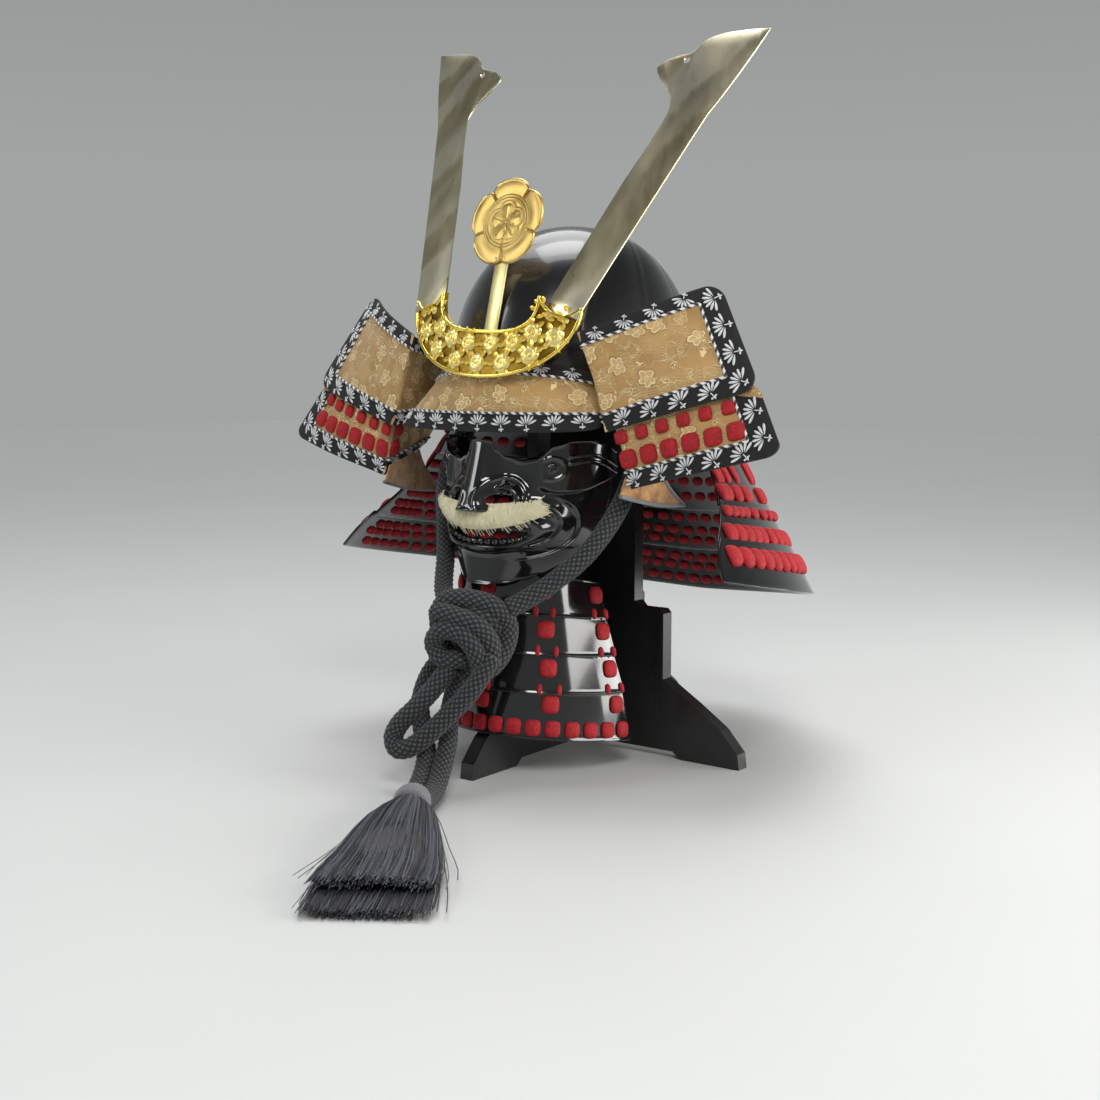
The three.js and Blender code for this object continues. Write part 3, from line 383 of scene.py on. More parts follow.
# Two-strand cord: UV runs one turn in u and once around in v.
def makeTwist(name, dark, light, worn):
    material = newMaterial(name, Roughness=0.7, Sheen_Weight=0.2)
    where = addNode(material, "ShaderNodeSeparateXYZ", i0=coordinates(material, "UV")).outputs
    lead = calculate(material, "FRACT", calculate(material, "ADD", where[0], where[1]))
    colour = blendColour(material, remap(material, lead, 0, 1, 0.47, 0.53), dark, light)
    fibre = noise(material, coordinates(material), scale=2600, detail=2)
    faded = remap(material, fibre, 0, 0.35, 0.4, 0.7)
    feed(material, "Base Color", blendColour(material, faded, colour, worn))
    addBump(material, fibre, distance=0.0002, strength=0.5)
    return material


# Plaited fibre: painted shade darkens it between the pillows and a painted highlight lightens their tops,
# with fine threads over them.
def makeBraidFibre(name, deep, body, high):
    material = newMaterial(name, Roughness=0.82, Sheen_Weight=0.15, Sheen_Roughness=0.5)
    rise = addNode(material, "ShaderNodeSeparateXYZ", i0=coordinates(material, "UV")).outputs[0]
    where = coordinates(material, stretch=(1, 1, 0.5))
    fibre = noise(material, where, scale=1300, detail=3, roughness=0.7)
    # the colour runs from painted shade low between the pillows to a painted highlight on their tops
    colour = ramp(material, rise, [(0.35, deep), (0.72, body), (1.0, high)])
    gaps = remap(material, fibre, 0.6, 0, 0.35, 0.65)
    feed(material, "Base Color", blendColour(material, gaps, colour, deep))
    addBump(material, fibre, distance=0.0004, strength=0.8)
    return material


def makeSuede(name, deep, middle, pale):
    material = newMaterial(name, Roughness=0.95, Sheen_Weight=0.6, Sheen_Roughness=0.5)
    where = coordinates(material)
    nap = noise(material, where, scale=90, detail=5, roughness=0.7)
    feed(material, "Base Color", ramp(material, nap, [(0.3, deep), (0.5, middle), (0.7, pale)]))
    brushed = addBump(material, nap, distance=0.0008, strength=0.5)
    fibre = noise(material, where, scale=1500, detail=3)
    addBump(material, fibre, distance=0.0003, strength=0.7, before=brushed)
    return material


def makePaint(name, colour, rough, grain):
    material = newMaterial(name, Coat_Weight=0.15, Coat_Roughness=0.3)
    wood = noise(material, coordinates(material, stretch=(1, 1, 0.3)), scale=60, detail=5, roughness=0.6)
    feed(material, "Base Color", blendColour(material, wood, colour, [c * 1.9 for c in colour]))
    feed(material, "Roughness", remap(material, wood, *rough, **usualNoise))
    grained = addBump(material, wood, distance=grain, strength=0.3)
    speck = noise(material, coordinates(material), scale=500, detail=2)
    addBump(material, speck, distance=0.00008, strength=0.4, before=grained)
    return material


def makeFloorSheet(colour):
    material = newMaterial("floorSheet", Roughness=0.7)
    broad = noise(material, coordinates(material), scale=3, detail=3)
    feed(material, "Base Color", blendColour(material, broad, colour, [c * 1.06 for c in colour]))
    return material


lacquer = makeLacquer("blackLacquer", (0.0045, 0.0045, 0.005), (0.07, 0.15))
bowlLacquer = makeLacquer("bowlLacquer", (0.005, 0.005, 0.0055), (0.2, 0.3))
gilt = makeGold("gilt", ((0.92, 0.64, 0.08), (1.0, 0.82, 0.22)), (0.14, 0.26), 0.00006)
dullGilt = makeGold("dullGilt", ((0.42, 0.27, 0.075), (0.68, 0.49, 0.17)), (0.30, 0.44), 0.0001)
strawGilt = makeGold("strawGilt", ((0.62, 0.52, 0.22), (0.80, 0.69, 0.34)), (0.28, 0.4), 0.0001)
bossGilt = makeGold("bossGilt", ((0.96, 0.76, 0.20), (1.0, 0.90, 0.45)), (0.30, 0.38), 0.00003)
leafGilt = makeGold("leafGilt", ((0.72, 0.47, 0.06), (0.95, 0.70, 0.16)), (0.30, 0.42), 0.00003)
# dark gold with painted shade, for the horn base's ground sunk between its bosses and leaves
recessShadeGilt = makeGold("giltPaintedShade", ((0.03, 0.012, 0.001), (0.50, 0.30, 0.035)), (0.35, 0.5), 0.0002)
paleBrass = makePaleBrass()
brocade = makeBrocade()
blackCloth = makeThread("blackCloth", (0.003, 0.003, 0.0035), (0.010, 0.010, 0.012), 0.85, 1400, 0.03)
whiteThread = makeThread("whiteThread", (0.52, 0.53, 0.55), (0.86, 0.87, 0.88), 0.75, 1800, 0.3)
redSilk = makeThread("redSilk", (0.13, 0.0, 0.002), (0.60, 0.006, 0.014), 0.75, 1000, 0.1,
                     lines=(1, 1, 0.4), tint=(1, 0.25, 0.25))
twistedPiping = makeTwist("twistedPiping", (0.012, 0.012, 0.014), (0.8, 0.8, 0.8), (0.2, 0.2, 0.2))
# cord colours: painted shade, the braid's own charcoal, and a painted highlight
cordBraid = makeBraidFibre("cordBraid", (0.005, 0.0055, 0.0065), (0.046, 0.049, 0.056),
                           (0.12, 0.125, 0.137))
# tassel threads in three tones: dark, the thread's own mid tone, and a light one that is a painted highlight
# on shiny thread
tasselShadeAndHighlightTones = [makeThread("tasselThread" + label, [c * 0.5 for c in tone], tone, 0.35, 900, 0.15)
               for label, tone in (("Dark", (0.011, 0.012, 0.018)), ("Mid", (0.040, 0.045, 0.060)),
                                   ("Light", (0.14, 0.152, 0.19)))]
greyThread = makeThread("greyThread", (0.07, 0.07, 0.075), (0.22, 0.225, 0.24), 0.6, 1500, 0.3)
suede = makeSuede("suede", (0.13, 0.055, 0.012), (0.33, 0.16, 0.045), (0.50, 0.28, 0.10))
bristle = makeThread("bristle", (0.74, 0.68, 0.44), (0.93, 0.89, 0.68), 0.55, 900, 0.2, lines=(1, 1, 0.2))
standPaint = makePaint("standPaint", (0.0075, 0.007, 0.0075), (0.24, 0.4), 0.0003)
print("finishes made")


def deselectAll():
    bpy.ops.object.select_all(action="DESELECT")


def choose(piece):
    deselectAll()
    piece.select_set(True)
    bpy.context.view_layer.objects.active = piece


def applyModifier(piece, kind, **settings):
    choose(piece)
    modifier = piece.modifiers.new(kind.lower(), kind)
    for name, value in settings.items():
        setattr(modifier, name, value)
    bpy.ops.object.modifier_apply(modifier=modifier.name)


# A wall grows behind its surface; thickness is in millimetres, as the width of a softened edge is.
def thicken(piece, thickness, **settings):
    applyModifier(piece, "SOLIDIFY", thickness=thickness * millimetre, offset=-1, **settings)


def softenEdges(piece, width, segments=2, angle=30):
    applyModifier(piece, "BEVEL", width=width * millimetre, segments=segments, limit_method="ANGLE",
                  angle_limit=math.radians(angle))


def editAll(piece, operator, **settings):
    choose(piece)
    bpy.ops.object.mode_set(mode="EDIT")
    bpy.ops.mesh.select_all(action="SELECT")
    operator(**settings)
    bpy.ops.object.mode_set(mode="OBJECT")


def alignNormals(piece):
    editAll(piece, bpy.ops.mesh.normals_make_consistent, inside=False)


# Seams and poles are closed here, before a wall gets its thickness.
def mergeSeams(piece):
    editAll(piece, bpy.ops.mesh.remove_doubles, threshold=1e-6)
    alignNormals(piece)


def sampled(shape, columns, rows):
    return np.array([[tuple(shape(i / columns, j / rows)) for j in range(rows + 1)]
                     for i in range(columns + 1)], dtype=float)


# Points of a grid raised along its own normals by relief(u, v), in millimetres.
def raised(points, relief):
    columns, rows = points.shape[0] - 1, points.shape[1] - 1
    normals = np.cross(np.gradient(points, axis=0), np.gradient(points, axis=1))
    normals /= np.maximum(np.linalg.norm(normals, axis=2, keepdims=True), 1e-9)
    heights = np.array([[relief(i / columns, j / rows) for j in range(rows + 1)]
                        for i in range(columns + 1)])
    return points + normals * heights[..., None]


# A grid primitive laid through an array of points, with its UV in centimetres along the surface.
# With two materials in faces, the second one is on the back and the rim.
def makeSheet(points, thickness=0.0, closed=False, uv=None, faces=()):
    columns, rows = points.shape[0] - 1, points.shape[1] - 1
    deselectAll()
    bpy.ops.mesh.primitive_grid_add(x_subdivisions=columns, y_subdivisions=rows, size=2)
    sheet = bpy.context.object
    mesh = sheet.data
    flat = np.empty(len(mesh.vertices) * 3)
    mesh.vertices.foreach_get("co", flat)
    flat = flat.reshape(-1, 3)
    i = np.rint((flat[:, 0] + 1) / 2 * columns).astype(int)
    j = np.rint((flat[:, 1] + 1) / 2 * rows).astype(int)
    placed = (points[i, j] + [0, footprintShift, 0]) * millimetre
    mesh.vertices.foreach_set("co", placed.ravel())
    if uv is None:
        middle = points[:, rows // 2]
        along = np.concatenate([[0], np.cumsum(np.linalg.norm(np.diff(middle, axis=0), axis=1))])
        steps = np.linalg.norm(np.diff(points, axis=1), axis=2)
        across = np.concatenate([np.zeros((columns + 1, 1)), np.cumsum(steps, axis=1)], axis=1)
        uv = np.stack([np.repeat(along[:, None], rows + 1, axis=1), across], axis=2) / 10
    corners = np.empty(len(mesh.loops), dtype=int)
    mesh.loops.foreach_get("vertex_index", corners)
    mesh.uv_layers.active.data.foreach_set("uv", uv[i[corners], j[corners]].ravel())
    mesh.update()
    if closed:
        mergeSeams(sheet)
    for material in faces:
        mesh.materials.append(material)
    if thickness:
        other = 1 if len(faces) > 1 else 0
        thicken(sheet, thickness, material_offset=other, material_offset_rim=other)
    return sheet


# Edges sharper than the angle stay crisp: soft goods keep few of them, plates more.
plateAngle = 50


def finishPiece(piece, name, material, replaces=(), angle=60):
    piece.name = name
    piece.data.name = name
    if material is not None:
        piece.data.materials.clear()
        piece.data.materials.append(material)
    choose(piece)
    bpy.ops.object.shade_smooth_by_angle(angle=math.radians(angle))
    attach(piece, "root")
    if replaces:
        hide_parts(*replaces)
    return piece


def joinPieces(pieces):
    deselectAll()
    for piece in pieces:
        piece.select_set(True)
    bpy.context.view_layer.objects.active = pieces[0]
    if len(pieces) > 1:
        bpy.ops.object.join()
    return bpy.context.object


def addBall(segments, rings, radius=1.0):
    deselectAll()
    bpy.ops.mesh.primitive_uv_sphere_add(segments=segments, ring_count=rings, radius=radius)
    return bpy.context.object


# Copies of one template, each with its own mesh, joined into one piece.
def placeCopies(template, places):
    copies = []
    for place in places:
        copy = template.copy()
        copy.data = template.data.copy()
        bpy.context.collection.objects.link(copy)
        copy.data.transform(place)
        copies.append(copy)
    bpy.data.objects.remove(template)
    return joinPieces(copies)


# A point of a dense smooth route through points, and everything measured along it.
def smoothRoute(points, closed=False, perSpan=24):
    knots = [np.array(p, dtype=float) for p in points]
    if closed:
        knots = [knots[-1], *knots, knots[0], knots[1]]
    else:
        knots = [2 * knots[0] - knots[1], *knots, 2 * knots[-1] - knots[-2]]
    route = []
    for k in range(1, len(knots) - 2):
        a, b, c, d = knots[k - 1:k + 3]
        ab, bc, cd = (max(np.linalg.norm(q - p) ** 0.5, 1e-4) for p, q in ((a, b), (b, c), (c, d)))
        leave = ((b - a) / ab - (c - a) / (ab + bc) + (c - b) / bc) * bc
        arrive = ((c - b) / bc - (d - b) / (bc + cd) + (d - c) / cd) * bc
        for w in np.arange(perSpan) / perSpan:
            route.append(b + leave * w + (3 * (c - b) - 2 * leave - arrive) * w ** 2
                         + (2 * (b - c) + leave + arrive) * w ** 3)
    route.append(knots[-2])
    return np.array(route)


def routeLength(route):
    return float(np.linalg.norm(np.diff(route, axis=0), axis=1).sum())


def evenPoints(route, count):
    lengths = np.concatenate([[0], np.cumsum(np.linalg.norm(np.diff(route, axis=0), axis=1))])
    wanted = np.linspace(0, lengths[-1], count)
    return np.stack([np.interp(wanted, lengths, route[:, axis]) for axis in range(3)], axis=1)


# Directions along and across a route that turn as little as they can.
def framesAlong(points, closed=False):
    if closed:
        ahead = np.roll(points[:-1], -1, axis=0) - np.roll(points[:-1], 1, axis=0)
        tangents = np.concatenate([ahead, ahead[:1]])
    else:
        tangents = np.gradient(points, axis=0)
    tangents /= np.linalg.norm(tangents, axis=1, keepdims=True)
    start = np.array([0, 0, 1.0]) if abs(tangents[0][2]) < 0.9 else np.array([1.0, 0, 0])
    side = np.cross(start, tangents[0])
    sides = []
    for tangent in tangents:
        side = side - tangent * side.dot(tangent)
        side /= np.linalg.norm(side)
        sides.append(side)
    sides = np.array(sides)
    if closed:
        # share out the last mismatch so that the ends meet
        over = np.cross(tangents[0], sides[0])
        error = math.atan2(sides[-1].dot(over), sides[-1].dot(sides[0]))
        for k, tangent in enumerate(tangents):
            turn = -error * k / (len(tangents) - 1)
            sides[k] = sides[k] * math.cos(turn) + np.cross(tangent, sides[k]) * math.sin(turn)
    return tangents, sides, np.cross(tangents, sides)


# A tube along a route. relief(along, around) adds to its radius, with along in millimetres and around
# from 0 to 1. Open ends are closed by small domes, given as how wide each row is and how far out.
endDome = ((0.0, 0.33), (0.6, 0.21), (0.9, 0.072))


def makeTube(route, radius, around=12, step=3.0, relief=None, closed=False, uvPitch=10.0, uvAs=None,
             flatten=1.0):
    length = routeLength(route)
    count = max(int(round(length / step)) + 1, 8)
    centres = evenPoints(route, count)
    tangents, sides, overs = framesAlong(centres, closed)
    along = np.linspace(0, length, count)
    theta = -2 * np.pi * np.arange(around + 1) / around
    reach = np.full((count, around + 1), float(radius))
    if relief is not None:
        reach += relief(along[:, None], (np.arange(around + 1) / around)[None, :])
    ring = (np.cos(theta)[None, :, None] * sides[:, None, :]
            + flatten * np.sin(theta)[None, :, None] * overs[:, None, :])
    points = centres[:, None, :] + reach[..., None] * ring
    if not closed:
        caps = []
        for end, sign in ((0, -1), (-1, 1)):
            rows = [centres[end] + tangents[end] * sign * radius * out
                    + reach[end][:, None] * ring[end] * wide for wide, out in endDome]
            caps.append(rows if end == 0 else rows[::-1])
        points = np.concatenate([np.array(caps[0]), points, np.array(caps[1])])
        along = np.concatenate([[along[0]] * len(endDome), along, [along[-1]] * len(endDome)])
    turns = (np.arange(around + 1) / around)[None, :]
    uv = uvAs(along[:, None], turns) if uvAs else (along[:, None] / uvPitch, turns)
    uv = np.stack(np.broadcast_arrays(*uv), axis=2)
    return makeSheet(points, closed=True, uv=uv)


# A matrix in metres standing on surface(u, v): x along it, y up it, z away from it.
def standOn(surface, u, v, lift=0.0, turn=0.0, size=(1, 1, 1)):
    step = 2e-3
    at = Vector(surface(u, v))
    along = Vector(surface(min(u + step, 1), v)) - Vector(surface(max(u - step, 0), v))
    up = Vector(surface(u, min(v + step, 1))) - Vector(surface(u, max(v - step, 0)))
    normal = along.cross(up).normalized()
    along = along.normalized()
    up = normal.cross(along)
    spin = Matrix.Rotation(turn, 3, "Z")
    basis = Matrix((along, up, normal)).transposed() @ spin @ Matrix.Diagonal(size)
    return Matrix.Translation(toWorld(at + normal * lift)) @ basis.to_4x4()


# Threads and hairs: one curve holds many, and is made a mesh when it is full.
def newStrands(name, radius, material, capped=False):
    curve = bpy.data.curves.new(name, "CURVE")
    curve.dimensions = "3D"
    curve.bevel_depth = radius * millimetre
    curve.bevel_resolution = 0
    curve.use_fill_caps = capped
    curve.materials.append(material)
    return curve


def addStrand(curve, points):
    spline = curve.splines.new("POLY")
    spline.points.add(len(points) - 1)
    for place, point in zip(spline.points, points):
        place.co = (*toWorld(point), 1)


def strandsToMesh(curve):
    strands = bpy.data.objects.new(curve.name, curve)
    bpy.context.collection.objects.link(strands)
    choose(strands)
    bpy.ops.object.convert(target="MESH")
    return bpy.context.object


# Lacing knot template: a soft square pad of silk, its back flat.
def makePad(width, height, depth, square=0.55, segments=16, rings=8, bow=0.0):
    pad = addBall(segments, rings)
    for vertex in pad.data.vertices:
        x, y, z = vertex.co
        flat = math.hypot(x, y)
        if flat > 1e-6:
            c, s = x / flat, y / flat
            spread = flat ** 0.6
            x = spread * math.copysign(abs(c) ** square, c)
            y = spread * math.copysign(abs(s) ** square, s)
        groove = 0.13 * math.cos(4.6 * math.pi * (x * 0.5 + y * 0.3)) * (1 - flat * flat)
        rise = (z + groove) * depth if z > 0 else z * depth * 0.25
        lean = bow * (1 - y * y)
        vertex.co = ((x * width / 2 + lean) * millimetre, y * height * millimetre / 2, rise * millimetre)
    return pad


def makeKnots(name, pad, places, nodes=()):
    finishPiece(placeCopies(makePad(**pad), places), name, redSilk, nodes)


# The chin cord: two runs, a knot, a loop and two tails, as routes through points.
cordShape = {"diameter": 18.0, "plaits": 10, "pitch": 6.6, "relief": 1.5, "step": 0.94, "around": 80}
cordRoutes = {
    "chinCordLeft": [
        (100, -44, 343), (105, -58, 314), (108, -74, 284), (110, -90, 264), (106, -112, 237),
        (96, -134, 212), (78, -156, 190), (60, -175, 174), (50, -186, 167)],
    "chinCordRight": [
        (-98, -44, 343), (-104, -66, 314), (-104, -88, 284), (-93, -107, 256), (-79, -123, 226),
        (-64, -141, 200), (-49, -161, 182), (-34, -177, 171), (-10, -187, 168)],
    "cordLoop": [
        (47, -206, 125), (34, -219, 96), (15, -232, 71), (-3, -245, 50), (-15, -252, 41), (-26, -254, 40),
        (-32, -252, 49), (-28, -248, 61), (-15, -241, 76), (-3, -231, 93), (7, -217, 114)],
    "cordTailRight": [
        (-23, -192, 117), (-38, -197, 95), (-42, -204, 71), (-28, -217, 50), (-9, -233, 33),
        (6, -257, 18), (20, -284, 11), (35, -310, 13)],
    "cordTailLeft": [
        (-4, -188, 112), (-12, -190, 84), (-10, -200, 62), (3, -217, 42), (15, -239, 25),
        (27, -262, 13), (38, -284, 11), (49, -305, 13)],
}
# The knot's three turns. Each row is a point: to the right, towards the viewer and up from the
# knot's middle, as it is seen from the view's side.
cordKnot = {"centre": (18, -198, 143), "facing": 37.0, "turns": [
    [(-24, 4, 30), (-4, 12, 33), (18, 14, 27), (32, 10, 10), (29, 12, -12), (15, 16, -30), (-4, 4, -34),
     (-22, -14, -18), (-32, -12, 8)],
    [(-30, 10, 21), (-13, 20, 18), (6, 22, 9), (17, 20, -8), (17, 10, -28), (0, -10, -32), (-17, -16, -8),
     (-29, -6, 12)],
    [(-8, 13, -22), (-27, 12, -21), (-35, 10, -7), (-27, 18, 5), (-11, 24, 4), (1, 26, -8), (7, 20, -26),
     (3, 2, -33)],
    [(-14, 8, 12), (2, 13, 20), (17, 12, 14), (23, 6, -2), (18, 4, -18), (2, -6, -18), (-14, -8, -4)],
]}


# How high a strand stands, 0 to 1. Two families of strands cross; each goes over and under in turn.
def plaitPillow(along, around):
    one = along / cordShape["pitch"] + around * cordShape["plaits"]
    other = along / cordShape["pitch"] - around * cordShape["plaits"]
    oneOver = (np.floor(one + 1e-9) + np.floor(other + 1e-9)) % 2 == 0
    one = np.abs(np.sin(np.pi * one))
    other = np.abs(np.sin(np.pi * other))
    return np.where(oneOver, one ** 0.35 * other ** 0.9, one ** 0.9 * other ** 0.35)


def plait(along, around):
    return cordShape["relief"] * (plaitPillow(along, around) - 0.8)


# The first part of a braid's UV says how high its pillows stand, for the shade between them.
def makeBraid(route, closed=False):
    return makeTube(route, cordShape["diameter"] / 2, cordShape["around"], cordShape["step"], plait, closed,
                    uvAs=lambda along, around: (plaitPillow(along, around), along / 10))


def makeCord(name, node):
    route = smoothRoute(cordRoutes[name])
    return finishPiece(makeBraid(route), name, cordBraid, (node,)), route


def makeKnot():
    centre = Vector(cordKnot["centre"])
    facing = math.radians(cordKnot["facing"])
    right = Vector((math.cos(facing), math.sin(facing), 0))
    near = Vector((math.sin(facing), -math.cos(facing), 0))
    turns = []
    for points in cordKnot["turns"]:
        ring = [centre + right * r + near * n + Vector((0, 0, up)) for r, n, up in points]
        turns.append(makeBraid(smoothRoute(ring, closed=True), closed=True))
    return finishPiece(joinPieces(turns), "cordKnotWraps", cordBraid, ("cord_knot",))


knotPiece = makeKnot()
for name, node, length, farEnd, beside in (
        ("chinCordLeft", "chin_cord_left", 0.246, "knot", [knotPiece]),
        ("chinCordRight", "chin_cord_right", 0.268, "knot", []),
        ("cordLoop", "cord_loop", 0.235, "object", []),
        ("cordTailRight", "cord_tail_right", 0.206, "object", []),
        ("cordTailLeft", "cord_tail_left", 0.195, "object", [])):
    piece, route = makeCord(name, node)
    print(name, "length", round(routeLength(route), 1))
print("cords plaited")


# The tassel lies along the floor, and its threads settle and spread away from the collar.
tassel = {"head": (52, -322, 17), "toward": (0.55, -0.835), "length": 225.0, "neckHalf": 12.0, "half": 47.0,
          "high": 12.0, "swell": 4.5, "settle": 5.0, "lift": 0.8, "threads": 2500, "thread": 0.40,
          "strayShare": 0.035, "bodyLength": 0.72, "bodyWidth": 0.86, "bodyHeight": 0.74,
          "collarRadius": 15.4, "collar": 19.0, "collarRidges": 34}


# The tassel's half-width, half-height and the height of its middle, part of the way along it.
def tasselSection(part):
    half = mix(tassel["neckHalf"], tassel["half"], min(part * 1.25, 1) ** 0.62)
    swell = tassel["swell"] * math.sin(math.pi * min(part * 1.6, 1))
    high = tassel["high"] + swell - tassel["settle"] * part
    middle = mix(tassel["head"][2], high + tassel["lift"], smoothstep(part, 0, 0.4))
    return half, high, middle


def makeTassel():
    x, y, z = tassel["head"]
    along = Vector((*tassel["toward"], 0)).normalized()
    aside = Vector((-along.y, along.x, 0))

    def tasselPlace(ahead, sideways, height):
        return Vector((x, y, height)) + along * (ahead - 2) + aside * sideways

    draws = random.Random(11)
    curves = [newStrands(f"threads{tone}", tassel["thread"], material, capped=True)
              for tone, material in enumerate(tasselShadeAndHighlightTones)]
    for k in range(tassel["threads"]):
        turn = draws.uniform(0, 2 * math.pi)
        depth = draws.random() ** 0.4
        side, level = depth * math.cos(turn), depth * math.sin(turn)
        upper = level > -0.1
        reach = tassel["length"] * (draws.gauss(0.81, 0.022) if upper else draws.uniform(0.93, 1.0))
        stray = draws.random() < tassel["strayShare"]
        reach *= draws.uniform(0.9, 1.06) if stray else 1
        wave = draws.uniform(0, 2 * math.pi)
        sway = draws.gauss(0, 5.0 if stray else 2.2)
        points = []
        for step in range(8):
            part = step / 7
            half, high, middle = tasselSection(part)
            half *= 1 + 0.22 * stray * part
            wander = 1.3 * math.sin(wave + 6 * part) * part + sway * part ** 3
            height = middle + level * high * 0.93 + (1.5 + 3 * part ** 4) * upper * part
            lowest = tassel["lift"] + tassel["thread"]
            points.append(tasselPlace(part * reach, side * half + wander, max(height, lowest)))
        # painted light: upper threads take the light tone more often, lower ones the dark tone as painted
        # shade underneath
        tone = draws.choice((0, 1, 1, 2, 2)) if upper else draws.choice((0, 0, 1, 1, 2))
        addStrand(curves[tone], points)
    pieces = [strandsToMesh(curve) for curve in curves]

    # under the threads a ridged body fills the tassel, so that no floor shows between them
    def body(u, v):
        part, turn = u * tassel["bodyLength"], 2 * math.pi * v
        half, high, middle = tasselSection(part)
        ridge = 1 + 0.03 * math.sin(turn * 37) + 0.02 * math.sin(turn * 61 + 3)
        shut = clamp((1 - u) / 0.03) ** 0.5
        height = middle + math.sin(turn) * high * tassel["bodyHeight"] * ridge * shut
        sideways = math.cos(turn) * half * tassel["bodyWidth"] * ridge * mix(0.9, 1, shut)
        return tasselPlace(part * tassel["length"], sideways, max(height, 1.0))

    filling = makeSheet(sampled(body, 40, 150)[:, ::-1], closed=True)
    # the filling takes the dark tone, as painted shade inside the tassel
    filling.data.materials.append(tasselShadeAndHighlightTones[0])
    start = Vector((x, y, z)) - along * 15
    line = np.array([tuple(start + along * t) for t in np.linspace(0, tassel["collar"], 12)])

    def wrapping(s, a):
        return 0.35 * np.sin(a * 2 * np.pi * tassel["collarRidges"]) + 0.8 * np.sin(np.pi * s / 17)

    collar = makeTube(line, tassel["collarRadius"], 96, 1.0, relief=wrapping)
    collar.data.materials.append(greyThread)
    whole = joinPieces([*pieces, filling, collar])
    finishPiece(whole, "tasselThreads", None, ("tassel",), 70)


makeTassel()
print("tassel made")


# The bowl's plates meet at raised seams, whose places are in degrees round from the front.
bowl = {"halfWidth": 113.0, "halfLength": 134.0, "centreY": -16.0, "rimZ": 350.0, "springZ": 366.0,
        "crownZ": 519.0, "roundness": 2.2, "wall": 2.5, "plateBulge": 1.5, "seam": 0.9, "skirt": 0.08,
        "plateEdges": (-45, 45, 75, 105, 135, 165, 195, 225, 255, 285, 315), "columns": 240, "rows": 46}
# the ring's section is given as radius and height, all the way round it
crownRing = {"y": 46.0, "lift": 2.2, "petals": 16,
             "section": ((8, -0.3), (22.4, -2.3), (23, -1.4), (22.5, 0.1), (20, 1.3), (17.5, 1), (16.5, 2),
                         (15, 2.6), (14, 3.2), (13, 4.2), (13.4, 5.4), (12.4, 6.3), (11, 6.1), (10, 4.8),
                         (8, 4.2), (8, -0.3))}


def domeHeight(part):
    rise = max(1 - part ** bowl["roundness"], 0) ** (1 / bowl["roundness"])
    return bowl["springZ"] + (bowl["crownZ"] - bowl["springZ"]) * rise


# The plates run from the rim to the crown ring, so the dome's grid is centred on the ring.
def domePoint(u, v):
    turn = 2 * math.pi * u
    skirt = bowl["skirt"]
    if v < skirt:
        return (bowl["halfWidth"] * math.sin(turn), bowl["centreY"] - bowl["halfLength"] * math.cos(turn),
                mix(bowl["rimZ"], bowl["springZ"], v / skirt))
    part = math.cos(math.pi / 2 * (v - skirt) / (1 - skirt)) ** 0.9
    middle = mix(crownRing["y"], bowl["centreY"], part)
    x = part * bowl["halfWidth"] * math.sin(turn)
    y = middle - part * bowl["halfLength"] * math.cos(turn)
    reach = math.hypot(x / bowl["halfWidth"], (y - bowl["centreY"]) / bowl["halfLength"])
    return x, y, domeHeight(min(reach, 1.0))


def plateRelief(u, v):
    edges = bowl["plateEdges"]
    turn = (360 * u - edges[0]) % 360 + edges[0]
    place = max(k for k, edge in enumerate(edges[:-1]) if edge <= turn + 1e-6)
    across = (turn - edges[place]) / (edges[place + 1] - edges[place])
    wide = 1 - v ** 3
    nearest = min(abs(turn - edge) for edge in edges)
    seam = bowl["seam"] * bump(nearest, 0, 1.1 / max(wide, 0.15)) * smoothstep(wide, 0.02, 0.3)
    rim = 0.9 * bump(v, 0.02, 0.02)
    return bowl["plateBulge"] * 4 * across * (1 - across) * wide + seam + rim


def makeBowl():
    points = raised(sampled(domePoint, bowl["columns"], bowl["rows"]), plateRelief)
    points[-1] = points[0]
    points[:, -1] = points[:, -1].mean(axis=0)
    dome = makeSheet(points, closed=True)
    thicken(dome, bowl["wall"])
    finishPiece(dome, "bowlPlates", bowlLacquer, ("bowl",), plateAngle)


def makeCrownRing():
    ring, profile = crownRing, crownRing["section"]
    part = (ring["y"] - bowl["centreY"]) / bowl["halfLength"]
    step = 0.05
    fall = domeHeight(part - step) - domeHeight(part + step)
    tilt = Matrix.Rotation(-math.atan2(fall, 2 * step * bowl["halfLength"]), 3, "X")
    seat = Vector((0, ring["y"], domeHeight(part) + ring["lift"]))

    def shape(u, v):
        place = v * (len(profile) - 1)
        k = min(int(place), len(profile) - 2)
        r, z = (mix(profile[k][n], profile[k + 1][n], place - k) for n in (0, 1))
        turn = 2 * math.pi * u
        petal = abs(math.cos(ring["petals"] / 2 * turn))
        outer = smoothstep(r, 16.5, 21)
        r -= 1.6 * outer * (1 - petal) ** 1.5
        z += 0.8 * outer * petal * smoothstep(v, 0.15, 0.3)
        return seat + tilt @ Vector((r * math.cos(turn), r * math.sin(turn), z))

    piece = makeSheet(sampled(shape, 160, (len(profile) - 1) * 2), closed=True)
    finishPiece(piece, "crownRingPetals", gilt, ("crown_ring",), plateAngle)


makeBowl()
makeCrownRing()
print("bowl and crown ring made")


# Embroidered border: a ribbon with palmettes along it and a twisted cord line at its inner edge.
border = {"palmettePitch": 27.5, "fittingWidth": 17.5, "petals": 7, "fan": 74, "petalLength": 8.4,
          "longerAside": 1.6, "petalWidth": 2.7, "petalHeight": 0.55, "raise": 0.7, "lineRadius": 1.35,
          "twist": 8.4}


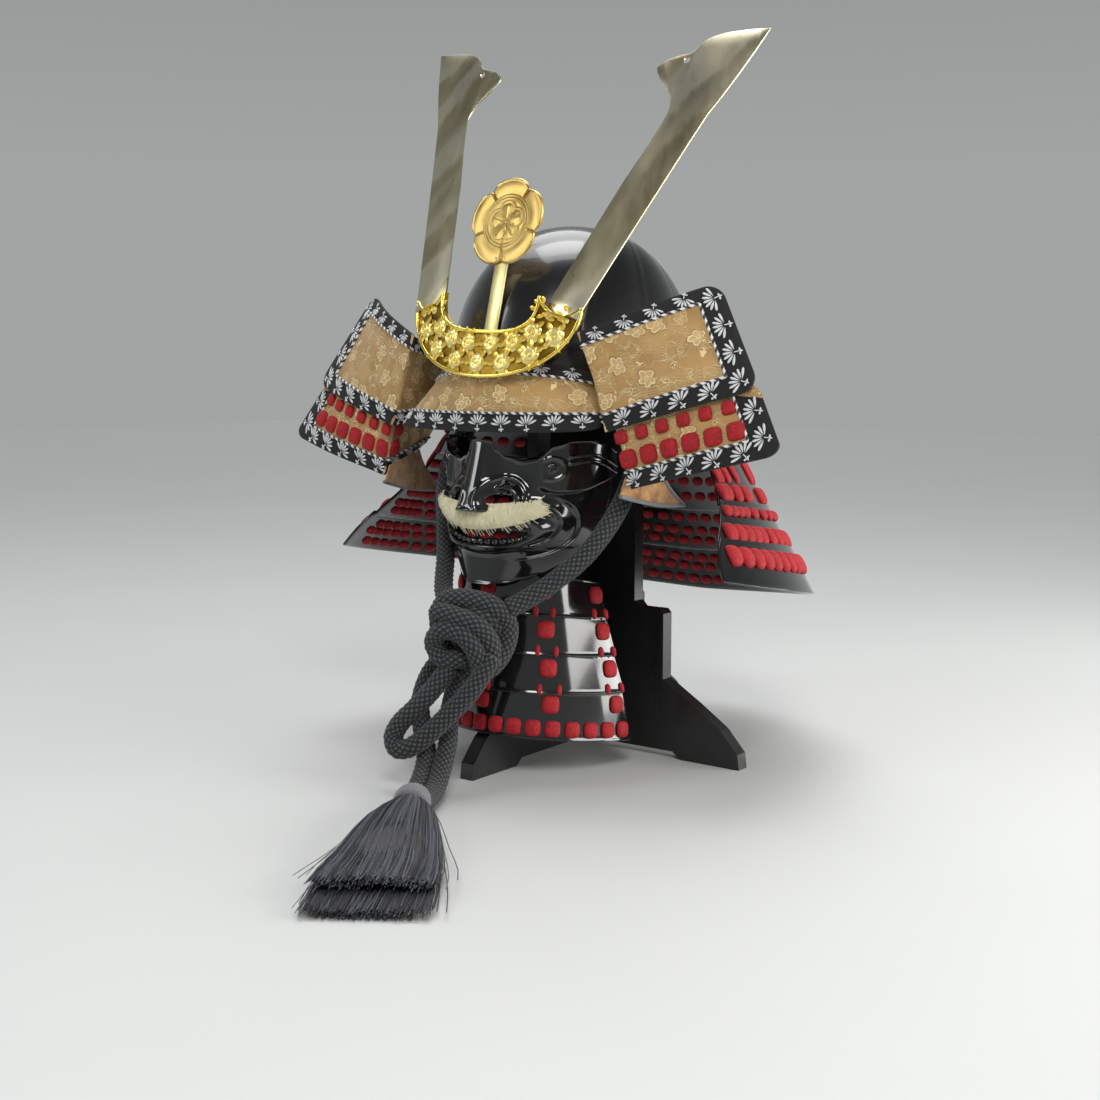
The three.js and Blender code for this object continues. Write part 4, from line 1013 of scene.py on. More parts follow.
# One palmette in metres: x across, y towards the border's outer edge, z up.
def makePalmette():
    parts = []

    def drop(length, width, place, turn):
        petal = addBall(8, 5)
        for vertex in petal.data.vertices:
            x, y, z = vertex.co
            narrow = 0.30 + 0.70 * smoothstep(-y, -0.9, 0.6)
            vertex.co = (x * width * narrow / 2, y * length / 2, z * border["petalHeight"])
        petal.data.transform(Matrix.Translation((*place, 0)) @ Matrix.Rotation(turn, 4, "Z"))
        parts.append(petal)

    middle = (border["petals"] - 1) / 2
    for k in range(border["petals"]):
        fan = math.radians(mix(-border["fan"], border["fan"], k / (border["petals"] - 1)))
        length = border["petalLength"] + border["longerAside"] * abs(k - middle) / middle
        reach = length * 0.5 + 1.7
        drop(length, border["petalWidth"], (math.sin(fan) * reach, 2.6 - math.cos(fan) * reach), fan)
    drop(6.4, 1.3, (0, 4.4), 0)  # the stalk and three drops about it
    drop(3.0, 2.2, (0, 7.2), 0)
    for side in (1, -1):
        drop(3.0, 2.2, (side * 1.6, 6.1), math.pi / 2)
    palmette = joinPieces(parts)
    palmette.data.transform(Matrix.Scale(millimetre, 4))
    return palmette


# A flat ribbon between two matching edges, its palmettes, and the cord line along its inner edge.
# edge(s) and inner(s) give points for s from 0 to 1; normalAt(s) the way off the surface.
def makeBorder(name, edge, inner, normalAt, columns, margin=0.03):
    def ribbon(u, v):
        low, high = Vector(inner(u)), Vector(edge(u))
        rise = border["raise"] * (1 - (2 * v - 1) ** 8) + 0.15
        return low.lerp(high, v) + normalAt(u) * rise

    cloth = makeSheet(sampled(ribbon, columns, 8))
    finishPiece(cloth, name + "Cloth", blackCloth)
    fine = [k / 400 for k in range(401)]
    middles = np.array([tuple(Vector(inner(s)).lerp(Vector(edge(s)), 0.5)) for s in fine])
    lengths = np.concatenate([[0], np.cumsum(np.linalg.norm(np.diff(middles, axis=0), axis=1))])
    count = max(int(round(lengths[-1] * (1 - 2 * margin) / border["palmettePitch"])), 1)
    places = []
    for k in range(count):
        wanted = lengths[-1] * mix(margin, 1 - margin, (k + 0.5) / count)
        s = float(np.interp(wanted, lengths, fine))
        low, high = Vector(inner(s)), Vector(edge(s))
        wide = (high - low).length
        outward = (high - low).normalized()
        normal = normalAt(s)
        outward = (outward - normal * outward.dot(normal)).normalized()
        across = outward.cross(normal)
        size = min(wide / border["fittingWidth"], 1.12)
        basis = Matrix((across, outward, normal)).transposed().to_4x4() @ Matrix.Scale(size, 4)
        at = low.lerp(high, 0.5) + normal * (border["raise"] + 0.5)
        places.append(Matrix.Translation(toWorld(at)) @ basis)
    finishPiece(placeCopies(makePalmette(), places), name + "Palmettes", whiteThread)
    radius, twist = border["lineRadius"], border["twist"]
    line = np.array([tuple(Vector(inner(s)) + normalAt(s) * (radius * 0.7)) for s in fine[::2]])

    def strands(s, a):
        return 0.25 * np.cos(4 * np.pi * (s / twist + a))

    cord = makeTube(line, radius, 10, 0.9, strands, uvPitch=twist, flatten=0.9)
    finishPiece(cord, name + "Line", twistedPiping)


# The visor leans out from the bowl, and its lower edge sweeps back to the corners.
visor = {"wall": 2.2, "spread": 62.0, "clear": 5.0, "topZ": 391.0, "topDip": 22.0, "frontY": -168.0,
         "frontZ": 324.0, "cornerX": 117.0, "cornerBack": 31.0, "cornerRise": 7.0, "bow": 3.0,
         "lowBorder": 18.0, "topBorder": 13.0}


def visorPoint(u, v):
    t = 2 * u - 1
    turn = math.radians(visor["spread"]) * t
    top = Vector(((bowl["halfWidth"] + visor["clear"]) * math.sin(turn),
                  bowl["centreY"] - (bowl["halfLength"] + visor["clear"]) * math.cos(turn),
                  visor["topZ"] - visor["topDip"] * t * t))
    low = Vector((visor["cornerX"] * math.sin(t * math.pi / 2), visor["frontY"] + visor["cornerBack"] * t * t,
                  visor["frontZ"] + visor["cornerRise"] * t * t))
    point = low.lerp(top, v)
    point.y -= visor["bow"] * 4 * v * (1 - v)
    return point


def normalOn(shape, u, v):
    step = 1e-3
    along = Vector(shape(min(u + step, 1), v)) - Vector(shape(max(u - step, 0), v))
    up = Vector(shape(u, min(v + step, 1))) - Vector(shape(u, max(v - step, 0)))
    return along.cross(up).normalized()


def makeVisor():
    plate = makeSheet(sampled(visorPoint, 120, 20), thickness=visor["wall"], faces=(brocade, blackCloth))
    softenEdges(plate, 0.6)
    finishPiece(plate, "visorPlate", None, ("visor",), plateAngle)

    def share(width, u):
        return width / (visorPoint(u, 1) - visorPoint(u, 0)).length

    makeBorder("visorLowBorder", lambda s: visorPoint(s, 0),
               lambda s: visorPoint(s, share(visor["lowBorder"], s)),
               lambda s: normalOn(visorPoint, s, 0.15), 120)
    makeBorder("visorTopBorder", lambda s: visorPoint(1 - s, 1),
               lambda s: visorPoint(1 - s, 1 - share(visor["topBorder"], 1 - s)),
               lambda s: normalOn(visorPoint, 1 - s, 0.9), 100)


makeVisor()
print("visor made")


# The horn base and the horns are rolled a little to one side together.
crestRig = {"pivotZ": 410.0, "roll": 3.2}
hornBase = {"outerHalf": 97.0, "outerTipZ": 441.0, "bottomZ": 375.0, "innerHalf": 56.0, "innerTipZ": 450.0,
            "innerBottomZ": 416.0, "notchDrop": 12.0, "thickness": 5.0, "frontY": -158.0, "lean": 0.18,
            "bendRadius": 275.0, "rim": 1.9, "bossRadius": 9.0, "pearlRadius": 4.0, "leavesPerBoss": 6,
            "strayLeaves": 10,
            # how many bosses in a row, how far it reaches from the middle, and how far up the base
            "bossRows": ((7, 0.37, 0.29), (6, 0.31, 0.72)),
            "tipPearls": ((0.448, 0.3), (0.44, 0.68), (0.472, 0.5))}
horn = {"thickness": 1.6, "plugDepth": 12.0, "seat": (82, -140, 444), "rise": (0.219, 0.442, 0.87),
        "across": (0.972, -0.019, -0.235), "holeAt": (-17.0, 252.0), "holeRadius": 3.4}
crest = {"radius": 42.0, "lobeDepth": 3.4, "thickness": 1.6, "ringInner": 22.5, "ringOuter": 25.5,
         "longSpoke": 15.0, "shortSpoke": 9.0, "stemWidth": 15.0, "stemThickness": 2.0,
         "stemBottomZ": 412.0, "stemY": -151.0, "flowerZ": 516.0, "lean": 15.0, "rivetRadius": 2.1}


# From the rig's own frame, whose height is counted from its pivot, to the drawing's.
def rigPlace(point):
    turned = Matrix.Rotation(math.radians(crestRig["roll"]), 3, "Y") @ Vector(point)
    return turned + Vector((0, 0, crestRig["pivotZ"]))


def basePoint(turn, part):
    b = hornBase
    far = superellipse(b["outerHalf"], b["outerTipZ"] - b["bottomZ"], 2.2, math.radians(turn))
    near = superellipse(b["innerHalf"], b["innerTipZ"] - b["innerBottomZ"], 3, math.radians(turn))
    tip = smoothstep(abs(turn - 270), 80, 90)
    x = mix(far[0], near[0], part)
    edge = mix(b["outerTipZ"] + far[1], b["innerTipZ"] + near[1], part) - crestRig["pivotZ"]
    z = edge - b["notchDrop"] * tip * 4 * part * (1 - part)
    bend = b["bendRadius"] - math.sqrt(b["bendRadius"] ** 2 - x * x)
    return Vector((x, b["frontY"] + bend - b["lean"] * (b["outerTipZ"] - crestRig["pivotZ"] - z), z))


# Even steps along the crescent, from its left tip to its right.
def baseTurn(u):
    return 270 + 90 * math.copysign(abs(2 * u - 1) ** 1.25, 2 * u - 1)


def baseShape(u, v):
    return rigPlace(basePoint(baseTurn(u), v))


# A small flower boss in metres: a low scalloped disc with a raised ring and a pearl on it.
def makeRosette(radius, petals=8):
    def disc(u, v):
        turn = 2 * math.pi * u
        lobe = abs(math.cos(petals * turn / 2))
        reach = radius * v * (0.95 + 0.09 * lobe)
        rise = 1.5 * (1 - v ** 4) * (0.75 + 0.25 * lobe * v)
        return reach * math.cos(turn), reach * math.sin(turn) - footprintShift, rise

    parts = [makeSheet(sampled(disc, petals * 6, 7), closed=True)]
    deselectAll()
    bpy.ops.mesh.primitive_torus_add(major_segments=32, minor_segments=10, major_radius=radius * 0.52,
                                     minor_radius=radius * 0.15)
    bpy.context.object.data.transform(Matrix.Translation((0, 0, 1.7)))
    parts.append(bpy.context.object)
    parts.append(addBall(16, 8, radius))
    parts[-1].data.transform(Matrix.Diagonal((0.22, 0.22, 3.2 / radius, 1)))
    for piece in parts[1:]:
        piece.data.transform(Matrix.Scale(millimetre, 4))
    return joinPieces(parts)


# A pointed leaf in metres, with a rib down its middle. Its root is a little way out from the origin.
def makeLeaf(length=7.5, width=4.6, root=7.2):
    def leaf(u, v):
        out, across = u, 2 * v - 1
        half = width / 2 * math.sin(math.pi * min(out * 0.93 + 0.07, 1)) ** 0.7
        bend = 1.1 * math.sin(out * 2.4)
        rise = 0.5 + 1.5 * math.sin(math.pi * out) * (1 - 0.8 * abs(across)) + 0.4 * (1 - abs(across)) ** 3
        return half * across + bend, root + length * out - footprintShift, rise

    return makeSheet(sampled(leaf, 8, 6), thickness=0.6)


def makeHornBase():
    b = hornBase
    field = sampled(baseShape, 150, 14)
    plate = makeSheet(field, thickness=b["thickness"])
    # the ground between the bosses is dark gold, painted shade in the recesses
    plate.data.materials.append(recessShadeGilt)
    back = makeSheet(raised(field, lambda u, v: -b["thickness"] - 0.1)[::-1], thickness=0.6)
    back.data.materials.append(gilt)
    # rims along both long edges and across the two tips
    runs = [([(k / 160, part) for k in range(161)], 2.4) for part in (0.015, 0.985)]
    runs += [([(u, k / 12) for k in range(13)], 2.0) for u in (0.004, 0.996)]
    rims = []
    for places, step in runs:
        line = np.array([tuple(baseShape(*place) + Vector((0, -0.8, 0))) for place in places])
        rims.append(makeTube(line, b["rim"], 8, step))
        rims[-1].data.materials.append(gilt)

    centres = [(0.5 + mix(-half, half, k / (count - 1)), v) for count, half, v in b["bossRows"]
               for k in range(count)]
    bosses = placeCopies(makeRosette(b["bossRadius"]),
                         [standOn(baseShape, u, v, 0.4, k * 0.7) for k, (u, v) in enumerate(centres)])
    bosses.data.materials.append(bossGilt)
    pearls = [standOn(baseShape, 0.5 + side * reach, v, 0.3)
              for side in (-1, 1) for reach, v in b["tipPearls"]]
    small = placeCopies(makeRosette(b["pearlRadius"], 6), pearls)
    small.data.materials.append(bossGilt)
    draws = random.Random(5)
    places = []
    for u, v in centres:
        for k in range(b["leavesPerBoss"]):
            turn = 2 * math.pi * (k + 0.5 + draws.uniform(-0.15, 0.15)) / b["leavesPerBoss"]
            places.append(standOn(baseShape, u, v, 0.25, turn, (draws.choice((-1.0, 1.0)), 1.0, 0.8)))
    for side in (-1, 1):
        for k in range(b["strayLeaves"]):
            u, v = 0.5 + side * draws.uniform(0.43, 0.492), draws.uniform(0.1, 0.9)
            places.append(standOn(baseShape, u, v, 0.3, draws.uniform(-0.6, 0.6), (0.8, 0.8, 0.9)))
    leaves = placeCopies(makeLeaf(), places)
    alignNormals(leaves)
    leaves.data.materials.append(leafGilt)
    whole = joinPieces([plate, *rims, back, bosses, small, leaves])
    finishPiece(whole, "hornBaseWork", None, ("horn_base",), plateAngle)


def bezier(*points, steps=14):
    rows = []
    for k in range(1, steps + 1):
        t = k / steps
        level = [Vector(p) for p in points]
        while len(level) > 1:
            level = [a.lerp(c, t) for a, c in zip(level, level[1:])]
        rows.append(tuple(level[0]))
    return rows


# The blade's outline in its own plane: x across it, y along it.
def hornOutline():
    left = [(-20, -horn["plugDepth"]), (-20, 0)]
    left += bezier((-20, 0), (-13, 124), steps=6)
    left += bezier((-13, 124), (-7, 175), (-7, 196))
    left += bezier((-7, 196), (-8, 220), (-34, 222), (-43, 238))
    left += bezier((-43, 238), (-40, 250), (-18, 259))
    left += bezier((-18, 259), (-13, 264), (-12, 268), steps=5)
    left += bezier((-12, 268), (-10, 280), (6, 289), (48, 300))
    right = bezier((48, 300), (43, 250), (33, 206)) + bezier((33, 206), (27, 140), (17, 0))
    return left + right + [(17, -horn["plugDepth"])]


# A flat plate from an outline of (x, y), with its face towards +z. It is turned into metres by place.
def makePlate(outline, thickness, place, bevel):
    deselectAll()
    bpy.ops.mesh.primitive_circle_add(vertices=len(outline), radius=1, fill_type="NGON")
    plate = bpy.context.object
    for vertex, (x, y) in zip(plate.data.vertices, outline):
        vertex.co = (x, y, 0)
    if plate.data.polygons[0].normal.z < 0:
        editAll(plate, bpy.ops.mesh.flip_normals)
    applyModifier(plate, "SOLIDIFY", thickness=thickness, offset=-1)
    for vertex in plate.data.vertices:
        vertex.co = toWorld(place(vertex.co + Vector((0, 0, thickness))))
    softenEdges(plate, bevel, angle=40)
    alignNormals(plate)
    return plate


def makeHorns():
    length = Vector(horn["rise"]).normalized()
    across = Vector(horn["across"])
    across = (across - length * across.dot(length)).normalized()
    normal = across.cross(length)
    seat = Vector(horn["seat"]) - Vector((0, 0, crestRig["pivotZ"]))
    for side, name in ((1, "Left"), (-1, "Right")):
        def place(p):
            point = seat + across * p.x + length * p.y + normal * p.z
            return rigPlace((side * point.x, point.y, point.z))

        outline = hornOutline()
        blade = makePlate(outline if side > 0 else outline[::-1], horn["thickness"], place, 0.4)
        deselectAll()
        bpy.ops.mesh.primitive_cylinder_add(vertices=32, radius=horn["holeRadius"], depth=20)
        drill = bpy.context.object
        for vertex in drill.data.vertices:
            x, y, z = vertex.co
            vertex.co = toWorld(place(Vector((x + horn["holeAt"][0], y + horn["holeAt"][1], z))))
        alignNormals(drill)
        applyModifier(blade, "BOOLEAN", object=drill, operation="DIFFERENCE", solver="EXACT")
        bpy.data.objects.remove(drill)
        finishPiece(blade, "hornBlade" + name, paleBrass, (f"horn_{name.lower()}",), 30)


def crestPlace(p):
    turned = Matrix.Rotation(-math.radians(crest["lean"]), 3, "X") @ Vector(p)
    return turned + Vector((0, crest["stemY"], crest["stemBottomZ"]))


# Relief of the flower plate: five lobes outside a double ring, five petals and ten spokes inside it.
def crestHeight(r, a):
    valley = math.cos(2.5 * (a - math.pi / 2))
    lobe = abs(valley)
    spokeTurn = (a - math.pi / 2) / (math.pi / 5)
    offSpoke = abs(spokeTurn - round(spokeTurn)) * math.pi / 5 * r
    height = 0.7 * bump(r, crest["ringInner"], 0.7) + 0.7 * bump(r, crest["ringOuter"], 0.8)
    if r > crest["ringOuter"] + 1:
        height += 0.9 * math.sin(math.pi * clamp((r - 26.5) / 15)) * lobe ** 0.5
        height -= 1.1 * bump(valley * r / 2.5, 0, 0.9)
        height += 0.5 * bump(r, 38.5 + 2.5 * lobe, 0.8)
    if r < crest["ringInner"]:
        petal = 14.5 + 5.2 * lobe ** 0.6
        height += 0.6 * bump(r, petal, 0.7)
        height += 0.8 * smoothstep(petal - r, 0.5, 4) * math.sin(math.pi * clamp(r / petal)) * lobe
        reach = crest["longSpoke"] if round(spokeTurn) % 2 == 0 else crest["shortSpoke"]
        within = smoothstep(r, 3, 4.5) * (1 - smoothstep(r, reach, reach + 1))
        height += 0.8 * bump(offSpoke, 0, 0.65) * within
        height += 0.9 * bump(r, 3.2, 0.8) + 0.7 * bump(r, 0, 1.6)
    if abs(math.cos(a) * r) < 2 and math.sin(a) < 0 and r > 12:
        height += 0.7 * bump(math.cos(a) * r, 0, 0.8)
    return height


def makeCrest():
    stemLength = (crest["flowerZ"] - crest["stemBottomZ"]) / math.cos(math.radians(crest["lean"]))

    def shape(u, v):
        a = 2 * math.pi * u
        petal = abs(math.cos(2.5 * (a - math.pi / 2)))
        r = v * (crest["radius"] - crest["lobeDepth"] * (1 - petal) ** 1.5 * 1.6)
        atEdge = v > 0.995
        depth = crest["thickness"] * 0.55 if atEdge else crest["thickness"] + crestHeight(r, a)
        return crestPlace((r * math.cos(a), -depth, stemLength + r * math.sin(a)))

    disc = makeSheet(sampled(shape, 360, 56), closed=True)
    applyModifier(disc, "SOLIDIFY", thickness=crest["thickness"] / 2 * millimetre, offset=1)
    finishPiece(disc, "crestFlowerDisc", dullGilt, ("crest_flower",))
    tall = stemLength - crest["radius"] + 14
    half = crest["stemWidth"] / 2
    depth = crest["stemThickness"]
    stem = makePlate([(-half, 0), (half, 0), (half, tall), (-half, tall)], depth,
                     lambda p: crestPlace((p.x, depth + 0.3 - p.z, p.y)), 0.5)
    rivets = []
    for side in (-1, 1):
        rivet = addBall(16, 8, crest["rivetRadius"])
        above = stemLength - crest["radius"] + 7
        for vertex in rivet.data.vertices:
            x, y, z = vertex.co
            vertex.co = toWorld(crestPlace((x + side * 4.6, y * 0.6 - 2.1, above + z)))
        rivets.append(rivet)
    finishPiece(joinPieces([stem, *rivets]), "crestStemStrip", strawGilt, ("crest_stem",), 40)


makeHornBase()
makeHorns()
makeCrest()
print("crest made")


# The turnbacks: along each edge a tier runs from its root, round a fold, to its free tip.
turnback = {"wall": 2.5, "height": 100.0, "cornerRadius": 16.0, "bow": 7.0, "knots": 7,
            "knotRows": ((0.42, 1.0), (0.74, 0.74)), "knotSpread": (0.32, 0.865),
            "border": {"top": 14.0, "side": 23.0, "bottom": 17.0}}
turnbackTiers = {
    "upper": {"top": ((119, -42, 390), (97, -147, 413), (206, -86, 457)),
              "bottom": ((122, -42, 334), (127, -146, 326), (262, -112, 366))},
    "lower": {"top": ((144, -54, 332), (131, -140, 336), (254, -104, 372)),
              "bottom": ((163, -58, 304), (147, -137, 276), (290, -122, 312))},
}


def turnbackRoute(root, fold, tip):
    root, fold, tip = Vector(root), Vector(fold), Vector(tip)
    bowed = fold.lerp(tip, 0.55) + Vector((0, -turnback["bow"], 0))
    return smoothRoute([root, root.lerp(fold, 0.5), root.lerp(fold, 0.9) + Vector((2, 0, 0)), fold,
                        fold.lerp(tip, 0.1) + Vector((0, -2, 0)), bowed, tip])


# The flat way across one tier: u along it, part from its bottom edge to its top, both 0 to 1.
def turnbackFlat(tier, side):
    edges = []
    for edge in ("bottom", "top"):
        dense = evenPoints(turnbackRoute(*turnbackTiers[tier][edge]), 401)
        dense[:, 0] *= side
        edges.append(dense)

    def flat(u, part):
        place = clamp(u) * 400
        k = min(int(place), 399)
        low, high = (edge[k] + (edge[k + 1] - edge[k]) * (place - k) for edge in edges)
        return Vector(low + (high - low) * part)

    span = routeLength(edges[1])
    return flat, span


def makeTurnback(tier, side):
    flat, span = turnbackFlat(tier, side)
    name = tier + sideNames[side]
    ending = f"{tier}_{sideNames[side].lower()}"
    radius = turnback["cornerRadius"]

    # columns crowd towards the free end, whose corners are round
    def shape(u, v):
        u = u * 1.125 if u < 0.8 else 1 - 0.1 * ((1 - u) / 0.2) ** 1.6
        past = max(radius - (1 - u) * span, 0)
        inset = (radius - math.sqrt(max(radius ** 2 - past ** 2, 0))) / turnback["height"]
        return flat(u, mix(inset, 1 - inset, v))

    points = sampled(shape, 150, 26)
    if side < 0:
        points = points[:, ::-1]
    plate = makeSheet(points, thickness=turnback["wall"], faces=(brocade, blackCloth))
    softenEdges(plate, 0.6, angle=50)
    finishPiece(plate, f"turnback{name}", None, (f"turnback_{ending}",), plateAngle)

    # the border runs along the bottom, round the free end and, on the upper tier, back along the top
    tall = (flat(0.8, 1) - flat(0.8, 0)).length
    corner = radius * tall / turnback["height"]
    last = 1.0 if tier == "upper" else 0.53
    lowCorner, lowTurned, highCorner, highTurned = 0.40, 0.46, 0.54, 0.60

    def outline(s, inset):
        s *= last
        low, top = inset["bottom"], inset["top"]
        run = span - inset["side"]
        r = max(radius - inset["side"], 1.5)
        rz = max(corner - (low + top) / 2, 1.5)
        if s <= lowCorner:
            a, b = (run - r) * s / lowCorner, low
        elif s <= lowTurned:
            turn = math.pi / 2 * (s - lowCorner) / (lowTurned - lowCorner)
            a, b = run - r + r * math.sin(turn), low + rz - rz * math.cos(turn)
        elif s <= highCorner:
            a, b = run, mix(low + rz, tall - top - rz, (s - lowTurned) / (highCorner - lowTurned))
        elif s <= highTurned:
            turn = math.pi / 2 * (s - highCorner) / (highTurned - highCorner)
            a, b = run - r + r * math.cos(turn), tall - top - rz + rz * math.sin(turn)
        else:
            a, b = (run - r) * (1 - (s - highTurned) / (1 - highTurned)), tall - top
        return a / span, clamp(b / tall)

    innerAt = dict(turnback["border"])
    if tier == "lower":
        innerAt["top"] = 0.0
    edgeAt = dict.fromkeys(innerAt, 0.0)

    def normalAt(s):
        u, part = outline(s, innerAt)
        return normalOn(flat, clamp(u, 0.02, 0.98), clamp(part, 0.02, 0.98)) * side

    def followed(route):
        return route if side > 0 else (lambda s: route(1 - s))

    makeBorder(f"turnback{name}Border", followed(lambda s: flat(*outline(s, edgeAt))),
               followed(lambda s: flat(*outline(s, innerAt))), followed(normalAt), 260, margin=0.0)
    if tier == "lower":
        places = []
        face = flat if side > 0 else (lambda u, v: flat(1 - u, v))
        for v, size in turnback["knotRows"]:
            for k in range(turnback["knots"]):
                u = mix(*turnback["knotSpread"], k / (turnback["knots"] - 1))
                places.append(standOn(face, u if side > 0 else 1 - u, v, 0.4, 0, (size, size, 1)))
        rows = [f"turnback_lacing_{row}_{sideNames[side].lower()}" for row in ("upper", "lower")]
        makeKnots(f"turnbackKnots{name}", {"width": 17.0, "height": 17.0, "depth": 4.0}, places, rows)


for tierName in ("upper", "lower"):
    for side in (1, -1):
        makeTurnback(tierName, side)
print("turnbacks made")


# The ear flaps hang under the lower turnbacks.
earFlap = {"wall": 2.4, "lowFront": (142, -143, 270), "lowBack": (145, -50, 256),
           "topFront": (143, -135, 286), "topBack": (146, -88, 299), "piping": 1.9, "hollow": 7.0}


def makeEarFlap(side):
    lowFront, lowBack, topFront, topBack = (Vector(earFlap[key])
                                            for key in ("lowFront", "lowBack", "topFront", "topBack"))

    def flap(u, v):
        u = u if side > 0 else 1 - u
        point = lowFront.lerp(lowBack, u).lerp(topFront.lerp(topBack, u), v)
        point.x += 3.5 * math.sin(math.pi * u) * (1 - v) + 5 * u * u * (1 - v) ** 2
        point.y -= earFlap["hollow"] * 4 * v * (1 - v) * u
        point.z -= 3 * math.sin(math.pi * u) * (1 - v) ** 2
        return Vector((side * point.x, point.y, point.z))

    sheet = makeSheet(sampled(flap, 50, 18), thickness=earFlap["wall"])
    softenEdges(sheet, 0.6, segments=3)
    name = sideNames[side]
    finishPiece(sheet, "earFlap" + name, suede, (f"ear_flap_{name.lower()}",), plateAngle)
    # the piping runs along the lower edge and up the rear one
    low = [flap(k / 40, 0) for k in range(41)]
    rear = [flap(max(side, 0), k / 10) for k in range(1, 11)]
    edge = low + rear if side > 0 else rear[::-1] + low

    def winding(s, a):
        return 0.18 * np.cos(2 * np.pi * (s / 1.8 + a))

    piping = makeTube(np.array([tuple(p) for p in edge]), earFlap["piping"], 10, 0.8, winding)
    finishPiece(piping, "earFlapPiping" + name, greyThread)


for side in (1, -1):
    makeEarFlap(side)
print("ear flaps made")


# The neck guard is a stack of flaring lames between a top and a bottom rim.
neck = {"top": {"halfX": 119.0, "halfY": 141.0, "centreY": -16.0, "z": 364.0},
        "bottom": {"halfX": 218.0, "halfY": 218.0, "centreY": 4.0, "frontZ": 198.0, "backZ": 132.0},
        "lames": 5, "wall": 2.0, "step": 3.0, "overlap": 0.16, "middle": 20 / 26, "middleReach": 94.0,
        "reachTop": 99.0, "reachBottom": 117.0, "flareFrom": 62.0, "flare": 0.13, "pitch": 18.2, "pairs": 11,
        "pairGap": 0.0125, "innerPitch": 17.0,
        # how far up each lame its rows of knots are tied inside
        "innerRows": ((1, (0.4,)), (2, (0.3, 0.62)), (3, (0.2, 0.42, 0.7)), (4, (0.2, 0.48, 0.68)))}
leafKnot = {"width": 16.4, "height": 22.0, "depth": 4.6, "square": 0.72, "bow": 2.0}
dotKnot = {"width": 16.4, "height": 22.0, "depth": 3.8, "square": 0.9}
hangingKnot = {"width": 10.0, "height": 32.0, "depth": 2.8, "square": 0.5, "bow": 0.8}
innerKnot = {"width": 13.6, "height": 10.4, "depth": 3.4, "square": 0.85, "segments": 12, "rings": 6}


def neckPoint(angle, level, outset):
    top, bottom = neck["top"], neck["bottom"]
    turn = math.radians(angle)
    scale = 1 + neck["flare"] * smoothstep(abs(angle), neck["flareFrom"], neck["reachBottom"]) * level
    halfX = mix(top["halfX"], bottom["halfX"], level) * scale + outset
    halfY = mix(top["halfY"], bottom["halfY"], level) * scale + outset
    bottomZ = mix(bottom["backZ"], bottom["frontZ"], (abs(angle) / neck["reachBottom"]) ** 1.5)
    return Vector((halfX * math.sin(turn),
                   mix(top["centreY"], bottom["centreY"], level) + halfY * math.cos(turn),
                   mix(top["z"], bottomZ, level)))


def neckSurface(index, lift=0.0):
    high = max((index - neck["overlap"]) / neck["lames"], 0)
    low = (index + 1) / neck["lames"]

    def surface(u, v):
        level = mix(low, high, v)
        reach = mix(neck["reachTop"], neck["reachBottom"], smoothstep(level, 0.36, 1))
        t = 1 - 2 * u
        beyond = max((abs(t) - neck["middle"]) / (1 - neck["middle"]), 0)
        angle = min(abs(t) / neck["middle"], 1) * neck["middleReach"] + beyond * (reach - neck["middleReach"])
        return neckPoint(math.copysign(angle, t), level, index * neck["step"] + lift)

    return surface


def lameRelief(u, v):
    roll = 0.9 * bump(v, 0.0, 0.035) + 0.6 * bump(v, 1.0, 0.03)
    ends = 0.7 * (bump(u, 0.0, 0.006) + bump(u, 1.0, 0.006))
    return max(roll, ends)


# One lacquered lame with rolled edges.
def makeLame(name, surface, columns, wall, node):
    lame = makeSheet(raised(sampled(surface, columns, 24), lameRelief), thickness=wall)
    softenEdges(lame, 0.5, angle=50)
    finishPiece(lame, name, lacquer, (node,), plateAngle)


def rowCount(surface, v, pitch, steps):
    span = sum((surface((k + 1) / steps, v) - surface(k / steps, v)).length for k in range(steps))
    return int(span * 0.95 / pitch)


def evenRow(index, v, pitch, size, turn=0.10):
    surface = neckSurface(index)
    count = rowCount(surface, v, pitch, 60)
    return [standOn(surface, mix(0.022, 0.978, k / (count - 1)), v, 0.3, turn, size) for k in range(count)]


def pairedRow(index, v, size, turn):
    surface = neckSurface(index)
    return [standOn(surface, mix(0.04, 0.96, k / (neck["pairs"] - 1)) + offset, v, 0.3, turn, size)
            for k in range(neck["pairs"]) for offset in (-neck["pairGap"], neck["pairGap"])]


def makeNeckGuard():
    for index in range(neck["lames"]):
        makeLame(f"neckPlate{index + 1}", neckSurface(index), 180, neck["wall"], f"neck_lame_{index + 1}")
    pitch = neck["pitch"]
    makeKnots("neckKnots3", leafKnot, pairedRow(2, 0.30, (0.95, 0.9, 1), 0.12), ("neck_lacing_3",))
    makeKnots("neckKnots4", leafKnot, evenRow(3, 0.27, pitch, (1, 0.93, 1)), ("neck_lacing_4",))
    makeKnots("neckKnots5", leafKnot, evenRow(4, 0.62, pitch, (1, 1, 1)), ("neck_lacing_5",))
    makeKnots("neckKnotsDots", dotKnot, evenRow(3, 0.76, pitch * 1.05, (0.9, 0.52, 1)))
    hanging = [place for index, v in ((2, 0.84), (1, 0.35), (1, 0.85), (0, 0.35))
               for place in pairedRow(index, v, (1, 1, 1), 0.2)]
    makeKnots("neckKnotsHanging", hangingKnot, hanging)
    inside = []
    for index, levels in neck["innerRows"]:
        within = neckSurface(index, -neck["wall"] - 0.2)
        for row, v in enumerate(levels):
            count = rowCount(neckSurface(index), v, neck["innerPitch"], 40)
            for k in range(count):
                u = mix(0.03, 0.97, (k + 0.5 * (row % 2)) / count)
                inside.append(standOn(lambda a, b: within(1 - a, b), 1 - u, v, 0.2))
    makeKnots("neckInnerKnots", innerKnot, inside)


makeNeckGuard()
print("neck guard made")


